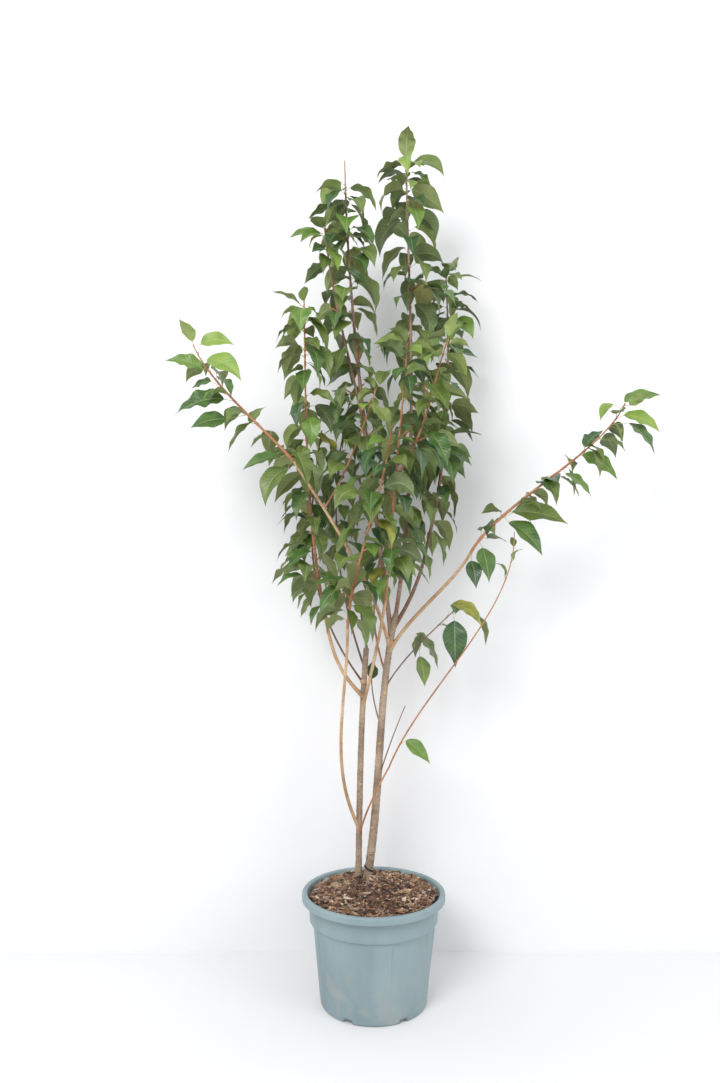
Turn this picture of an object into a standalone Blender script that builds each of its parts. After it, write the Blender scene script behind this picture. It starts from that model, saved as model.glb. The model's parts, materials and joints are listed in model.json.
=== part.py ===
"""A young kanzan cherry with two trunks and long whippy shoots, standing in a round nursery pot.

Metres, +Z up. The origin is the centre of the pot's flat underside and -Y is the front.
Each trunk, limb and leafy shoot is one solid. A leafy shoot is a stem with its leaves fused on.
"""
import math
import random
from collections import namedtuple

import bmesh
import bpy
from mathutils import Matrix, Quaternion, Vector
from mathutils.bvhtree import BVHTree
from mathutils.kdtree import KDTree

GAP = 0.0003  # clear space between two pieces that touch
UP = Vector((0.0, 0.0, 1.0))

# Pot: a moulded 30 litre container with a turned-down lip and a plain collar
POT_HEIGHT = 0.312
POT_WALL = 0.003
POT_FLOOR = 0.004
POT_SEGMENTS = 40
FOOT_RADIUS = 0.154
FOOT_CORNER = 0.008
BODY_TOP_RADIUS = 0.178
COLLAR_BOTTOM = 0.229
COLLAR_STEP = 0.006
COLLAR_RADIUS = 0.187
LIP_BOTTOM = 0.2915
LIP_RADIUS = 0.2075
LIP_INNER_RADIUS = 0.1913
LIP_ROUND = 0.006
DRAIN_NOTCHES = 6
DRAIN_FIRST = math.radians(-28.5)  # turned from the front, towards the right
DRAIN_WIDTH = 0.028
DRAIN_HEIGHT = 0.010

# Potting mix: filled to just under the rim, slightly heaped round the trunks
MIX_EDGE = 0.303
MIX_CROWN = 0.3247
MIX_CROWN_RADIUS = 0.105

# Tie: a tilted band round the right trunk's foot
TIE_HEIGHT = 0.352
TIE_RADIUS = 0.0165
TIE_HALF = 0.0022
TIE_TILT = math.radians(32)
TIE_SIDES = 12

# Trunks and limbs
GROUND = MIX_CROWN + GAP
FLARE = 0.0020  # how far the root flare adds to a trunk's radius
FLARE_HEIGHT = 0.022
RING_SPACING = 0.065  # between the rings a stem is drawn through
TAPER_POWER = 1.4
TIP = "tip"

# A stem leaves its parent's axis at the height foot, or goes on from its parent's tip. It ends at tip, and
# two sideways pushes bend it, one low and one high. The radii are those of its foot and of its tip.
Stem = namedtuple("Stem", "parent foot tip low_sway high_sway foot_radius tip_radius")

TRUNKS = {
    "trunk_left": Stem(
        None, (-0.044, 0.070, GROUND), (-0.020, 0.070, 1.010), (-0.005, 0.0), (-0.010, 0.005), 0.0095, 0.0085
    ),
    "trunk_right": Stem(
        None, (-0.017, 0.068, GROUND), (0.070, 0.070, 1.115), (0.015, 0.0), (-0.030, 0.005), 0.0125, 0.0095
    ),
}

LIMBS = {
    "dead_stub": Stem("trunk_left", TIP, (-0.035, 0.060, 1.175), (0.0, 0.0), (-0.015, 0.0), 0.0040, 0.0015),
    "limb_outer_left": Stem(
        "trunk_left", 0.470, (-0.075, -0.080, 1.075), (-0.085, -0.015), (-0.010, -0.030), 0.0050, 0.0040
    ),
    "limb_inner_left": Stem(
        "trunk_left", 0.862, (-0.145, 0.030, 1.110), (-0.050, -0.005), (-0.020, 0.0), 0.0055, 0.0045
    ),
    "limb_middle": Stem(
        "trunk_left", 0.830, (0.035, -0.045, 1.155), (0.005, -0.010), (0.005, 0.0), 0.0050, 0.0045
    ),
    "limb_upright": Stem(
        "trunk_right", 1.065, (0.165, 0.105, 1.310), (0.020, 0.005), (0.020, 0.0), 0.0060, 0.0053
    ),
    "bough_left": Stem(
        "trunk_right", 1.010, (-0.230, -0.080, 1.555), (0.050, -0.085), (0.025, -0.010), 0.0055, 0.0040
    ),
    "bough_right": Stem(
        "trunk_right", 0.980, (0.290, 0.010, 1.295), (-0.050, 0.005), (0.025, 0.0), 0.0055, 0.0045
    ),
    "shoot_low_right": Stem(
        "trunk_left", 0.440, (0.046, 0.020, 0.661), (-0.017, -0.012), (-0.011, -0.009), 0.0028, 0.0025
    ),
    "twig_bare": Stem("trunk_right", 0.605, (0.095, 0.030, 0.840), (-0.005, 0.0), (-0.005, 0.0), 0.0020, 0.0013),
}

LEAFY_STEMS = {
    "leaves_centre": Stem(
        "trunk_right", 1.043, (-0.085, -0.020, 2.470), (-0.010, 0.070), (-0.040, 0.010), 0.0075, 0.0018
    ),
    "leaves_leader": Stem(
        "trunk_right", TIP, (0.100, 0.020, 2.500), (0.065, 0.010), (0.020, 0.005), 0.0065, 0.0018
    ),
    "leaves_inner_left": Stem(
        "limb_inner_left", TIP, (-0.205, -0.030, 2.045), (-0.040, 0.0), (-0.015, 0.0), 0.0045, 0.0016
    ),
    "leaves_outer_left": Stem(
        "limb_outer_left", TIP, (0.050, -0.140, 1.650), (-0.030, 0.0), (0.025, 0.0), 0.0040, 0.0018
    ),
    "leaves_middle": Stem(
        "limb_middle", TIP, (0.100, -0.060, 1.910), (-0.005, -0.030), (0.000, -0.015), 0.0045, 0.0016
    ),
    "leaves_upright": Stem(
        "limb_upright", TIP, (0.230, 0.120, 2.190), (0.055, 0.0), (0.035, 0.0), 0.0053, 0.0016
    ),
    "leaves_bough_left": Stem(
        "bough_left", TIP, (-0.515, -0.120, 1.885), (-0.005, 0.0), (-0.050, -0.005), 0.0040, 0.0016
    ),
    "leaves_bough_right": Stem(
        "bough_right", TIP, (0.735, -0.050, 1.730), (-0.070, 0.005), (0.090, -0.005), 0.0045, 0.0016
    ),
    "leaves_red_shoot": Stem(
        "bough_left", 1.420, (0.010, -0.070, 1.775), (0.025, -0.015), (0.010, 0.0), 0.0026, 0.0016
    ),
    "leaves_low_right": Stem(
        "shoot_low_right", TIP, (0.410, -0.040, 1.355), (-0.029, 0.002), (0.135, -0.005), 0.0025, 0.0014
    ),
    "leaves_low_twig": Stem(
        "trunk_right", 0.880, (0.265, 0.020, 1.145), (-0.035, 0.0), (-0.015, 0.005), 0.0022, 0.0015
    ),
    "leaves_inner_twig": Stem(
        "trunk_right", 0.770, (-0.005, 0.105, 0.935), (-0.010, 0.0), (-0.010, 0.0), 0.0020, 0.0015
    ),
    "leaves_back_left": Stem(
        "trunk_left", 0.900, (-0.160, 0.170, 1.690), (-0.165, 0.040), (-0.085, 0.005), 0.0030, 0.0016
    ),
    "leaves_back_middle": Stem(
        "trunk_left", 0.945, (-0.070, 0.180, 1.790), (-0.090, 0.065), (-0.085, 0.010), 0.0030, 0.0016
    ),
    "leaves_back_right": Stem(
        "trunk_right", 0.930, (0.170, 0.200, 1.855), (-0.165, 0.070), (0.025, 0.015), 0.0030, 0.0016
    ),
}

# Second stems that fork off a leafy stem and belong to its mass
FORKS = {
    "fork_short_left": Stem(
        "leaves_centre", 1.490, (-0.145, -0.030, 2.275), (0.030, 0.010), (-0.030, 0.025), 0.0048, 0.0018
    ),
    "fork_middle_right": Stem(
        "leaves_middle", 1.510, (0.210, -0.150, 1.895), (0.045, 0.0), (0.0, 0.0), 0.0033, 0.0016
    ),
}
STEMS = {**TRUNKS, **LIMBS, **LEAFY_STEMS, **FORKS}

# Leaves sit on a stem between the fractions first and last of it, one every gap. length is a full blade,
# droop the angle it hangs at, spurs the number of short side twigs with three leaves each, and tuft the
# number of leaves that stand round the growing tip.
Foliage = namedtuple("Foliage", "mass first last gap length droop spurs tuft seed")

FOLIAGE = {
    "leaves_centre": Foliage("leaves_centre", 0.12, 0.93, 0.031, 0.120, 38, 6, 0, 11),
    "fork_short_left": Foliage("leaves_centre", 0.12, 0.97, 0.027, 0.120, 36, 4, 3, 12),
    "leaves_leader": Foliage("leaves_leader", 0.08, 0.97, 0.028, 0.135, 42, 7, 5, 13),
    "leaves_inner_left": Foliage("leaves_inner_left", 0.02, 0.97, 0.026, 0.120, 40, 4, 3, 14),
    "leaves_outer_left": Foliage("leaves_outer_left", 0.03, 0.97, 0.025, 0.125, 42, 3, 3, 15),
    "leaves_middle": Foliage("leaves_middle", 0.04, 0.97, 0.027, 0.125, 38, 3, 3, 16),
    "fork_middle_right": Foliage("leaves_middle", 0.10, 0.97, 0.026, 0.125, 34, 2, 3, 17),
    "leaves_upright": Foliage("leaves_upright", 0.05, 0.97, 0.028, 0.120, 40, 4, 3, 18),
    "leaves_bough_left": Foliage("leaves_bough_left", 0.10, 0.90, 0.050, 0.110, 40, 0, 1, 19),
    "leaves_bough_right": Foliage("leaves_bough_right", 0.10, 0.95, 0.050, 0.110, 34, 0, 1, 20),
    "leaves_red_shoot": Foliage("leaves_red_shoot", 0.30, 0.97, 0.025, 0.115, 36, 0, 2, 21),
    "leaves_low_right": Foliage("leaves_low_right", 0.80, 0.96, 0.050, 0.050, -60, 0, 0, 22),
    "leaves_low_twig": Foliage("leaves_low_twig", 0.60, 0.96, 0.060, 0.110, 60, 0, 0, 23),
    "leaves_inner_twig": Foliage("leaves_inner_twig", 0.80, 0.97, 0.060, 0.085, -60, 0, 0, 24),
    "leaves_back_left": Foliage("leaves_back_left", 0.34, 0.97, 0.027, 0.120, 40, 2, 3, 25),
    "leaves_back_middle": Foliage("leaves_back_middle", 0.32, 0.97, 0.027, 0.120, 40, 2, 3, 26),
    "leaves_back_right": Foliage("leaves_back_right", 0.32, 0.97, 0.027, 0.120, 40, 2, 3, 27),
}

# Leaves with a place of their own on the open side boughs and low twigs: how far along the stem they sit, then
# the heading, rise and length of the stalk and of the blade (degrees, metres), the blade's arch and its roll.
Placed = namedtuple("Placed", "stem place stalk_heading stalk_rise stalk heading rise length arch roll")

PLACED = [
    Placed("leaves_bough_left", 0.79, 202, -13, 0.015, 188, 11, 0.110, 25, -60),
    Placed("leaves_bough_left", 0.91, 318, 68, 0.030, 348, -5, 0.106, 30, 70),
    Placed("leaves_bough_left", 0.74, 227, 67, 0.043, 341, -33, 0.136, 30, 55),
    Placed("leaves_bough_left", 0.64, 163, 26, 0.037, 155, -13, 0.072, 20, -50),
    Placed("leaves_bough_left", 0.51, 194, 11, 0.032, 189, -21, 0.155, 25, -55),
    Placed("leaves_bough_left", 0.40, 194, -13, 0.064, 206, -19, 0.110, 15, -60),
    Placed("leaves_bough_left", 0.32, 160, 9, 0.023, 25, 46, 0.078, 20, 40),
    Placed("leaves_bough_left", 0.06, 199, -25, 0.022, 188, -20, 0.118, 20, -35),
    Placed("leaves_bough_left", 0.02, 237, -60, 0.032, 210, -59, 0.144, 40, -30),
    Placed("leaves_bough_left", 0.04, 321, 19, 0.030, 304, -60, 0.126, 15, 0),
    Placed("leaves_bough_right", 0.02, 250, -59, 0.040, 284, -65, 0.093, 20, 10),
    Placed("leaves_bough_right", 0.08, 300, -49, 0.029, 284, -66, 0.115, 15, 0),
    Placed("leaves_bough_right", 0.22, 347, 26, 0.050, 349, -14, 0.168, 20, 50),
    Placed("leaves_bough_right", 0.25, 320, -47, 0.028, 338, -46, 0.143, 20, 35),
    Placed("leaves_bough_right", 0.52, 202, -10, 0.041, 306, -59, 0.107, 30, 10),
    Placed("leaves_bough_right", 0.57, 289, -57, 0.020, 343, -46, 0.109, 20, 30),
    Placed("leaves_bough_right", 0.64, 312, 17, 0.018, 343, -38, 0.130, 25, 40),
    Placed("leaves_bough_right", 0.68, 60, 50, 0.018, 18, 38, 0.093, 20, 40),
    Placed("leaves_bough_right", 0.89, 342, 26, 0.027, 348, -29, 0.119, 30, 45),
    Placed("leaves_bough_right", 0.86, 345, 2, 0.049, 330, -56, 0.131, 20, 25),
    Placed("leaves_bough_right", 0.98, 45, 57, 0.015, 7, 12, 0.118, 20, 35),
    Placed("leaves_bough_right", 0.96, 191, 26, 0.029, 198, -49, 0.074, 40, -30),
    Placed("leaves_low_twig", 0.90, 297, -72, 0.027, 269, -81, 0.141, 10, 0),
    Placed("leaves_low_twig", 0.98, 10, -29, 0.051, 32, -68, 0.111, 25, 20),
    Placed("leaves_low_twig", 0.84, 329, 69, 0.041, 346, -37, 0.117, 35, 30),
    Placed("leaves_low_twig", 0.53, 280, -78, 0.036, 300, -74, 0.093, 15, 0),
    Placed("leaves_low_twig", 0.47, 48, 78, 0.048, 18, -58, 0.137, 25, 35),
    Placed("leaves_low_right", 0.10, 335, 33, 0.021, 343, -41, 0.099, 10, 50),
]
DIVERGENCE = math.radians(137.5)
STALK_SHARE = (0.14, 0.22)  # of the blade's length
PLACED_WIDTH = 0.52  # of the blade's length
WIDEST = 0.42  # how far along the blade it is widest
BLADE_THICKNESS = 0.0022
ROOT_RADIUS = 0.0013
YOUNG_LENGTH = 0.16  # stretch at a stem's tip where the leaves are still small
CLEARANCE = 0.003  # kept between a new leaf and all that grew before it
TRIES = 10
TUFT_PLACE = 0.985
TUFT_STEP = 0.006
TUFT_DROOP = (-25, -10, 5, 15, 30)  # the topmost leaves stand up, the next ones spread
LEAF_ROOT = 0.012  # the length at a leaf's root that may be near its own stem
PLACED_ROOT = 0.026


def clear_scene():
    for thing in list(bpy.data.objects):
        bpy.data.objects.remove(thing, do_unlink=True)


def material(name, colour, roughness):
    made = bpy.data.materials.new(name)
    made.use_nodes = True
    shader = made.node_tree.nodes["Principled BSDF"]
    shader.inputs["Base Color"].default_value = (*colour, 1.0)
    shader.inputs["Roughness"].default_value = roughness
    shader.inputs["Metallic"].default_value = 0.0
    return made


def mesh_object(name, vertices, faces, finish, collection=None):
    mesh = bpy.data.meshes.new(name)
    mesh.from_pydata([tuple(v) for v in vertices], [], faces)
    mesh.materials.append(finish)
    made = bpy.data.objects.new(name, mesh)
    (collection or bpy.context.scene.collection).objects.link(made)
    return made


def face_outward(thing):
    shape = bmesh.new()
    shape.from_mesh(thing.data)
    bmesh.ops.recalc_face_normals(shape, faces=shape.faces)
    shape.to_mesh(thing.data)
    shape.free()


def make_cutter(thing):
    thing.hide_render = True
    thing.display_type = "WIRE"


def cut(thing, cutter):
    carve = thing.modifiers.new("cut " + cutter.name, "BOOLEAN")
    carve.operation = "DIFFERENCE"
    carve.object = cutter


# Pot, potting mix and tie
def turned(name, profile, finish):
    """Spins a profile of (radius, height) points that starts and ends on the axis."""
    shape = bmesh.new()
    points = [shape.verts.new((radius, 0.0, height)) for radius, height in profile]
    edges = [shape.edges.new(pair) for pair in zip(points, points[1:])]
    bmesh.ops.spin(
        shape, geom=points + edges, cent=(0, 0, 0), axis=(0, 0, 1), angle=math.tau, steps=POT_SEGMENTS, use_merge=True
    )
    bmesh.ops.remove_doubles(shape, verts=shape.verts, dist=0.00001)
    bmesh.ops.recalc_face_normals(shape, faces=shape.faces)
    mesh = bpy.data.meshes.new(name)
    shape.to_mesh(mesh)
    shape.free()
    mesh.materials.append(finish)
    mesh.shade_smooth()
    mesh.set_sharp_from_angle(angle=math.radians(40))
    made = bpy.data.objects.new(name, mesh)
    bpy.context.scene.collection.objects.link(made)
    return made


def body_radius(height):
    """Outer radius of the pot's tapered body below the collar."""
    share = (height - FOOT_CORNER) / (COLLAR_BOTTOM - FOOT_CORNER)
    return FOOT_RADIUS + (BODY_TOP_RADIUS - FOOT_RADIUS) * max(share, 0.0)


def lip_arc(centre_radius, centre_height, radius, start, stop, steps=3):
    """Points on an arc in the profile plane; angles run from the outward direction."""
    points = []
    for step in range(steps + 1):
        angle = start + (stop - start) * step / steps
        points.append((centre_radius + radius * math.cos(angle), centre_height + radius * math.sin(angle)))
    return points


def pot_outline(inset):
    """The pot's inner face from the floor to the lip, moved towards the axis by inset."""
    return [
        (body_radius(FOOT_CORNER) - POT_WALL - inset, POT_FLOOR + inset),
        (BODY_TOP_RADIUS - POT_WALL - inset, COLLAR_BOTTOM),
        (COLLAR_RADIUS - POT_WALL - inset, COLLAR_BOTTOM + 2 * COLLAR_STEP),
        (COLLAR_RADIUS - POT_WALL - inset, LIP_BOTTOM),
        (LIP_INNER_RADIUS - inset, POT_HEIGHT - LIP_ROUND),
    ]


def make_pot(finish):
    outer = [(0.0, 0.0), (FOOT_RADIUS - FOOT_CORNER, 0.0)]
    outer += lip_arc(FOOT_RADIUS - FOOT_CORNER, FOOT_CORNER, FOOT_CORNER, -math.pi / 2, 0.0)[1:]
    outer += [(BODY_TOP_RADIUS, COLLAR_BOTTOM), (COLLAR_RADIUS - 0.001, COLLAR_BOTTOM + COLLAR_STEP)]
    outer += [(COLLAR_RADIUS, LIP_BOTTOM + POT_WALL), (LIP_RADIUS - POT_WALL, LIP_BOTTOM + POT_WALL)]
    outer += [(LIP_RADIUS - POT_WALL, LIP_BOTTOM), (LIP_RADIUS, LIP_BOTTOM)]
    outer += lip_arc(LIP_RADIUS - LIP_ROUND, POT_HEIGHT - LIP_ROUND, LIP_ROUND, 0.0, math.pi / 2)
    inner = lip_arc(LIP_INNER_RADIUS + LIP_ROUND, POT_HEIGHT - LIP_ROUND, LIP_ROUND, math.pi / 2, math.pi)
    profile = outer + inner + pot_outline(0.0)[-2::-1] + [(0.0, POT_FLOOR)]
    pot = turned("pot", profile, finish)
    vertices = []
    faces = []
    for number in range(DRAIN_NOTCHES):
        turn = Matrix.Rotation(DRAIN_FIRST + number * math.tau / DRAIN_NOTCHES, 3, "Z")
        first = len(vertices)
        for x in (-DRAIN_WIDTH / 2, DRAIN_WIDTH / 2):
            for y in (-FOOT_RADIUS - 0.01, -FOOT_RADIUS + 2 * FOOT_CORNER):
                for z in (-0.01, DRAIN_HEIGHT):
                    vertices.append(turn @ Vector((x, y, z)))
        for quad in ((0, 1, 3, 2), (4, 6, 7, 5), (0, 4, 5, 1), (2, 3, 7, 6), (0, 2, 6, 4), (1, 5, 7, 3)):
            faces.append([first + corner for corner in quad])
    notches = mesh_object("drain notch cutter", vertices, faces, finish)
    face_outward(notches)
    make_cutter(notches)
    cut(pot, notches)
    return pot


def make_potting_mix(finish):
    side = pot_outline(GAP)
    below = [point for point in side if point[1] < MIX_EDGE]
    (low_radius, low), (high_radius, high) = side[-2:]
    edge_radius = low_radius + (high_radius - low_radius) * (MIX_EDGE - low) / (high - low)
    slope = []
    steps = 3
    for step in range(1, steps):
        share = step / steps
        rise = 0.5 - 0.5 * math.cos(math.pi * share)
        radius = edge_radius + (MIX_CROWN_RADIUS - edge_radius) * share
        slope.append((radius, MIX_EDGE + (MIX_CROWN - MIX_EDGE) * rise))
    profile = [(0.0, side[0][1])] + below + [(edge_radius, MIX_EDGE)] + slope
    profile += [(MIX_CROWN_RADIUS, MIX_CROWN), (0.0, MIX_CROWN)]
    return turned("potting_mix", profile, finish)


# Stems
def curve_point(ends, t):
    a, b, c, d = ends
    s = 1.0 - t
    return a * s**3 + b * (3 * s * s * t) + c * (3 * s * t * t) + d * t**3


def curve_direction(ends, t):
    a, b, c, d = ends
    s = 1.0 - t
    return ((b - a) * (s * s) + (c - b) * (2 * s * t) + (d - c) * (t * t)).normalized()


def curve_at_height(ends, height):
    low, high = 0.0, 1.0
    for _ in range(40):
        middle = (low + high) / 2
        if curve_point(ends, middle).z < height:
            low = middle
        else:
            high = middle
    return curve_point(ends, low)


def stem_ends(name):
    """The four control points of a stem's curve."""
    stem = STEMS[name]
    if stem.parent is None:
        foot = Vector(stem.foot)
    elif stem.foot == TIP:
        parent = stem_ends(stem.parent)
        foot = parent[3] + curve_direction(parent, 1.0) * GAP
    else:
        foot = curve_at_height(stem_ends(stem.parent), stem.foot)
    tip = Vector(stem.tip)
    span = (tip - foot) / 3
    low = foot + span + Vector((*stem.low_sway, 0.0))
    high = foot + 2 * span + Vector((*stem.high_sway, 0.0))
    return foot, low, high, tip


def stem_radius(name, t):
    stem = STEMS[name]
    radius = stem.foot_radius + (stem.tip_radius - stem.foot_radius) * t**TAPER_POWER
    if name in TRUNKS:
        height = curve_point(stem_ends(name), t).z - GROUND
        radius += FLARE * math.exp(-height / FLARE_HEIGHT)
    return radius


def stem_rings(name, swell=0.0):
    """Centres, directions and radii of the rings that a stem's tube is made of."""
    ends = stem_ends(name)
    stem = STEMS[name]
    length = sum((curve_point(ends, (i + 1) / 20) - curve_point(ends, i / 20)).length for i in range(20))
    count = max(4, round(length / RING_SPACING))
    steps = [i / count for i in range(count + 1)]
    if name in TRUNKS:
        steps = [0.0, 0.015, 0.04] + steps[1:]
    rings = [[curve_point(ends, t), curve_direction(ends, t), stem_radius(name, t) + swell] for t in steps]
    if stem.parent is None:
        rings[0][1] = UP.copy()
    elif stem.foot == TIP:
        rings[0][1] = curve_direction(stem_ends(stem.parent), 1.0)
    return rings


def tube_mesh(rings, sides):
    """A closed tube through the rings, whose cross-section turns as little as it can."""
    vertices = []
    faces = []
    across = rings[0][1].orthogonal().normalized()
    last = rings[0][1]
    for centre, direction, radius in rings:
        across = last.rotation_difference(direction) @ across
        across = (across - direction * across.dot(direction)).normalized()
        last = direction
        other = direction.cross(across)
        for side in range(sides):
            angle = math.tau * side / sides
            vertices.append(centre + (across * math.cos(angle) + other * math.sin(angle)) * radius)
    for ring in range(len(rings) - 1):
        for side in range(sides):
            here = ring * sides + side
            beside = ring * sides + (side + 1) % sides
            faces.append((here, beside, beside + sides, here + sides))
    faces.append(tuple(range(sides - 1, -1, -1)))
    faces.append(tuple(range(len(vertices) - sides, len(vertices))))
    return vertices, faces


def stem_sides(name):
    return 10 if name in TRUNKS else 8 if name in LIMBS else 5


def make_stem(name, finish, collection=None):
    vertices, faces = tube_mesh(stem_rings(name), stem_sides(name))
    made = mesh_object(name, vertices, faces, finish, collection)
    made.data.shade_smooth()
    made.data.set_sharp_from_angle(angle=math.radians(60))
    return made


def seat_on_parent(thing, name, finish):
    """Cuts a stem's foot to the side of its parent, a gap clear of it."""
    stem = STEMS[name]
    if stem.parent is None or stem.foot == TIP:
        return
    sides = stem_sides(stem.parent)
    swell = GAP / math.cos(math.pi / sides)
    vertices, faces = tube_mesh(stem_rings(stem.parent, swell), sides)
    cutter = mesh_object(stem.parent + " seat for " + name, vertices, faces, finish)
    make_cutter(cutter)
    cut(thing, cutter)


def make_tie(finish):
    """The dark tie left round the right trunk's foot, cut to the trunk."""
    tilt = Quaternion((0.0, 1.0, 0.0), TIE_TILT)
    centre = curve_at_height(stem_ends("trunk_right"), TIE_HEIGHT)
    rings = [(centre + tilt @ Vector((0, 0, rise)), tilt @ UP, TIE_RADIUS) for rise in (-TIE_HALF, TIE_HALF)]
    vertices, faces = tube_mesh(rings, TIE_SIDES)
    tie = mesh_object("foot_tie", vertices, faces, finish)
    sides = stem_sides("trunk_right")
    vertices, faces = tube_mesh(stem_rings("trunk_right", GAP / math.cos(math.pi / sides)), sides)
    cutter = mesh_object("trunk_right seat for foot_tie", vertices, faces, finish)
    make_cutter(cutter)
    cut(tie, cutter)
    return tie


# Leaves
Leaf = namedtuple("Leaf", "root knee middle tip side width")


def aim(heading, pitch):
    return heading * math.cos(pitch) + UP * math.sin(pitch)


def lay_blade(root, knee, heading, rise, arch, roll, length, share):
    """A blade from its knee, up over its widest place and down to its tip."""
    middle = knee + aim(heading, rise + arch * (1 - WIDEST)) * length * WIDEST
    tip = middle + aim(heading, rise - arch * WIDEST) * length * (1 - WIDEST)
    side = heading.cross(UP).normalized()
    side.rotate(Quaternion((tip - knee).normalized(), roll))
    return Leaf(root, knee, middle, tip, side, length * share)


def shape_leaf(rng, root, along, outward, length, droop):
    """One leaf: a stalk from root to knee, then a blade that hangs away from the stem."""
    lean = math.radians(rng.uniform(38, 68))
    start = (outward * math.sin(lean) + along * math.cos(lean)).normalized()
    knee = root + start * length * rng.uniform(*STALK_SHARE)
    heading = Vector((start.x, start.y, 0.0))
    if heading.length < 0.15:
        heading = Vector((along.y, -along.x, 0.0))
    heading.normalize()
    heading.rotate(Matrix.Rotation(math.radians(rng.gauss(0, 14)), 3, "Z"))
    rise = math.radians(max(-80.0, rng.gauss(-droop, 17)))
    arch = math.radians(rng.uniform(12, 60))
    roll = math.radians(rng.gauss(0, 26))
    return lay_blade(root, knee, heading, rise, arch, roll, length, rng.uniform(0.46, 0.56))


def compass(heading, rise):
    """The direction of a heading and a rise given in degrees."""
    turn = math.radians(heading)
    return aim(Vector((math.cos(turn), math.sin(turn), 0.0)), math.radians(rise))


def placed_leaf(given, root):
    knee = root + compass(given.stalk_heading, given.stalk_rise) * given.stalk
    heading = compass(given.heading, 0)
    rise, arch, roll = (math.radians(angle) for angle in (given.rise, given.arch, given.roll))
    return lay_blade(root, knee, heading, rise, arch, roll, given.length, PLACED_WIDTH)


def leaf_solid(leaf, root_radius, thickness, widen=1.0, start=0.0):
    """A closed blade of ten faces: a small root section, a wide flat one and the tip."""
    first = leaf.root.lerp(leaf.middle, start)
    reach = (leaf.middle - first).normalized()
    normal = leaf.side.cross(leaf.tip - leaf.root).normalized()
    below = normal if normal.z < 0 else -normal
    across = leaf.side * root_radius
    half = leaf.side * (leaf.width * widen / 2)
    root_below = (below - reach * below.dot(reach)).normalized() * root_radius
    vertices = [
        first - across - root_below * 0.5,
        first + across - root_below * 0.5,
        first + root_below,
        leaf.middle - half - below * thickness * 0.5,
        leaf.middle + half - below * thickness * 0.5,
        leaf.middle + below * thickness * 0.5,
        leaf.tip,
    ]
    faces = [(0, 1, 2), (0, 3, 4), (0, 4, 1), (1, 4, 5), (1, 5, 2), (2, 5, 3), (2, 3, 0), (3, 6, 4), (4, 6, 5), (5, 6, 3)]
    return vertices, faces


class Crown:
    """What has grown so far: the stems, and a guard round each leaf that the next ones keep out of."""

    def __init__(self):
        self.stems = []
        for name in STEMS:
            vertices, faces = tube_mesh(stem_rings(name, CLEARANCE / 2), 6)
            self.stems.append(BVHTree.FromPolygons(vertices, faces))
        self.guards = []
        self.nearest = KDTree(60 * len(FOLIAGE))
        self.owners = []
        for name, growth in FOLIAGE.items():
            ends = stem_ends(name)
            for step in range(60):
                self.nearest.insert(curve_point(ends, step / 59), len(self.owners))
                self.owners.append(growth.mass)
        self.nearest.balance()
        self.placed = {name: [] for name in FOLIAGE}
        for given in PLACED:
            leaf = placed_leaf(given, curve_point(stem_ends(given.stem), given.place))
            if self.has_room(leaf, PLACED_ROOT):
                self.placed[given.stem].append((leaf, stem_radius(given.stem, given.place)))

    def owner(self, place):
        return self.owners[self.nearest.find(place)[1]]

    def accepts(self, leaf, mass):
        inside = self.owner(leaf.middle) == mass and self.owner(leaf.tip) == mass
        return inside and self.has_room(leaf, LEAF_ROOT)

    def has_room(self, leaf, root_length):
        """Whether the leaf, beyond its root, keeps clear of all else; if it does, it's kept clear of too."""
        start = min(0.7, root_length / (leaf.middle - leaf.root).length)
        guard = leaf_solid(leaf, ROOT_RADIUS * 2, CLEARANCE * 2, 1.06, start)
        tree = BVHTree.FromPolygons(*guard)
        if any(tree.overlap(stem) for stem in self.stems):
            return False
        size = (leaf.tip - leaf.root).length
        for centre, radius, other in self.guards:
            if (centre - leaf.middle).length < radius + size and tree.overlap(other):
                return False
        self.guards.append((leaf.middle, size, tree))
        return True

    def add_twig(self, rings):
        self.stems.append(BVHTree.FromPolygons(*tube_mesh(rings, 3)))


def grow_leaf(crown, rng, mass, root, along, outward, length, droop):
    """The first of a few tries that has room, or None."""
    for _ in range(TRIES):
        leaf = shape_leaf(rng, root, along, outward, length, droop)
        if crown.accepts(leaf, mass):
            return leaf
    return None


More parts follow.
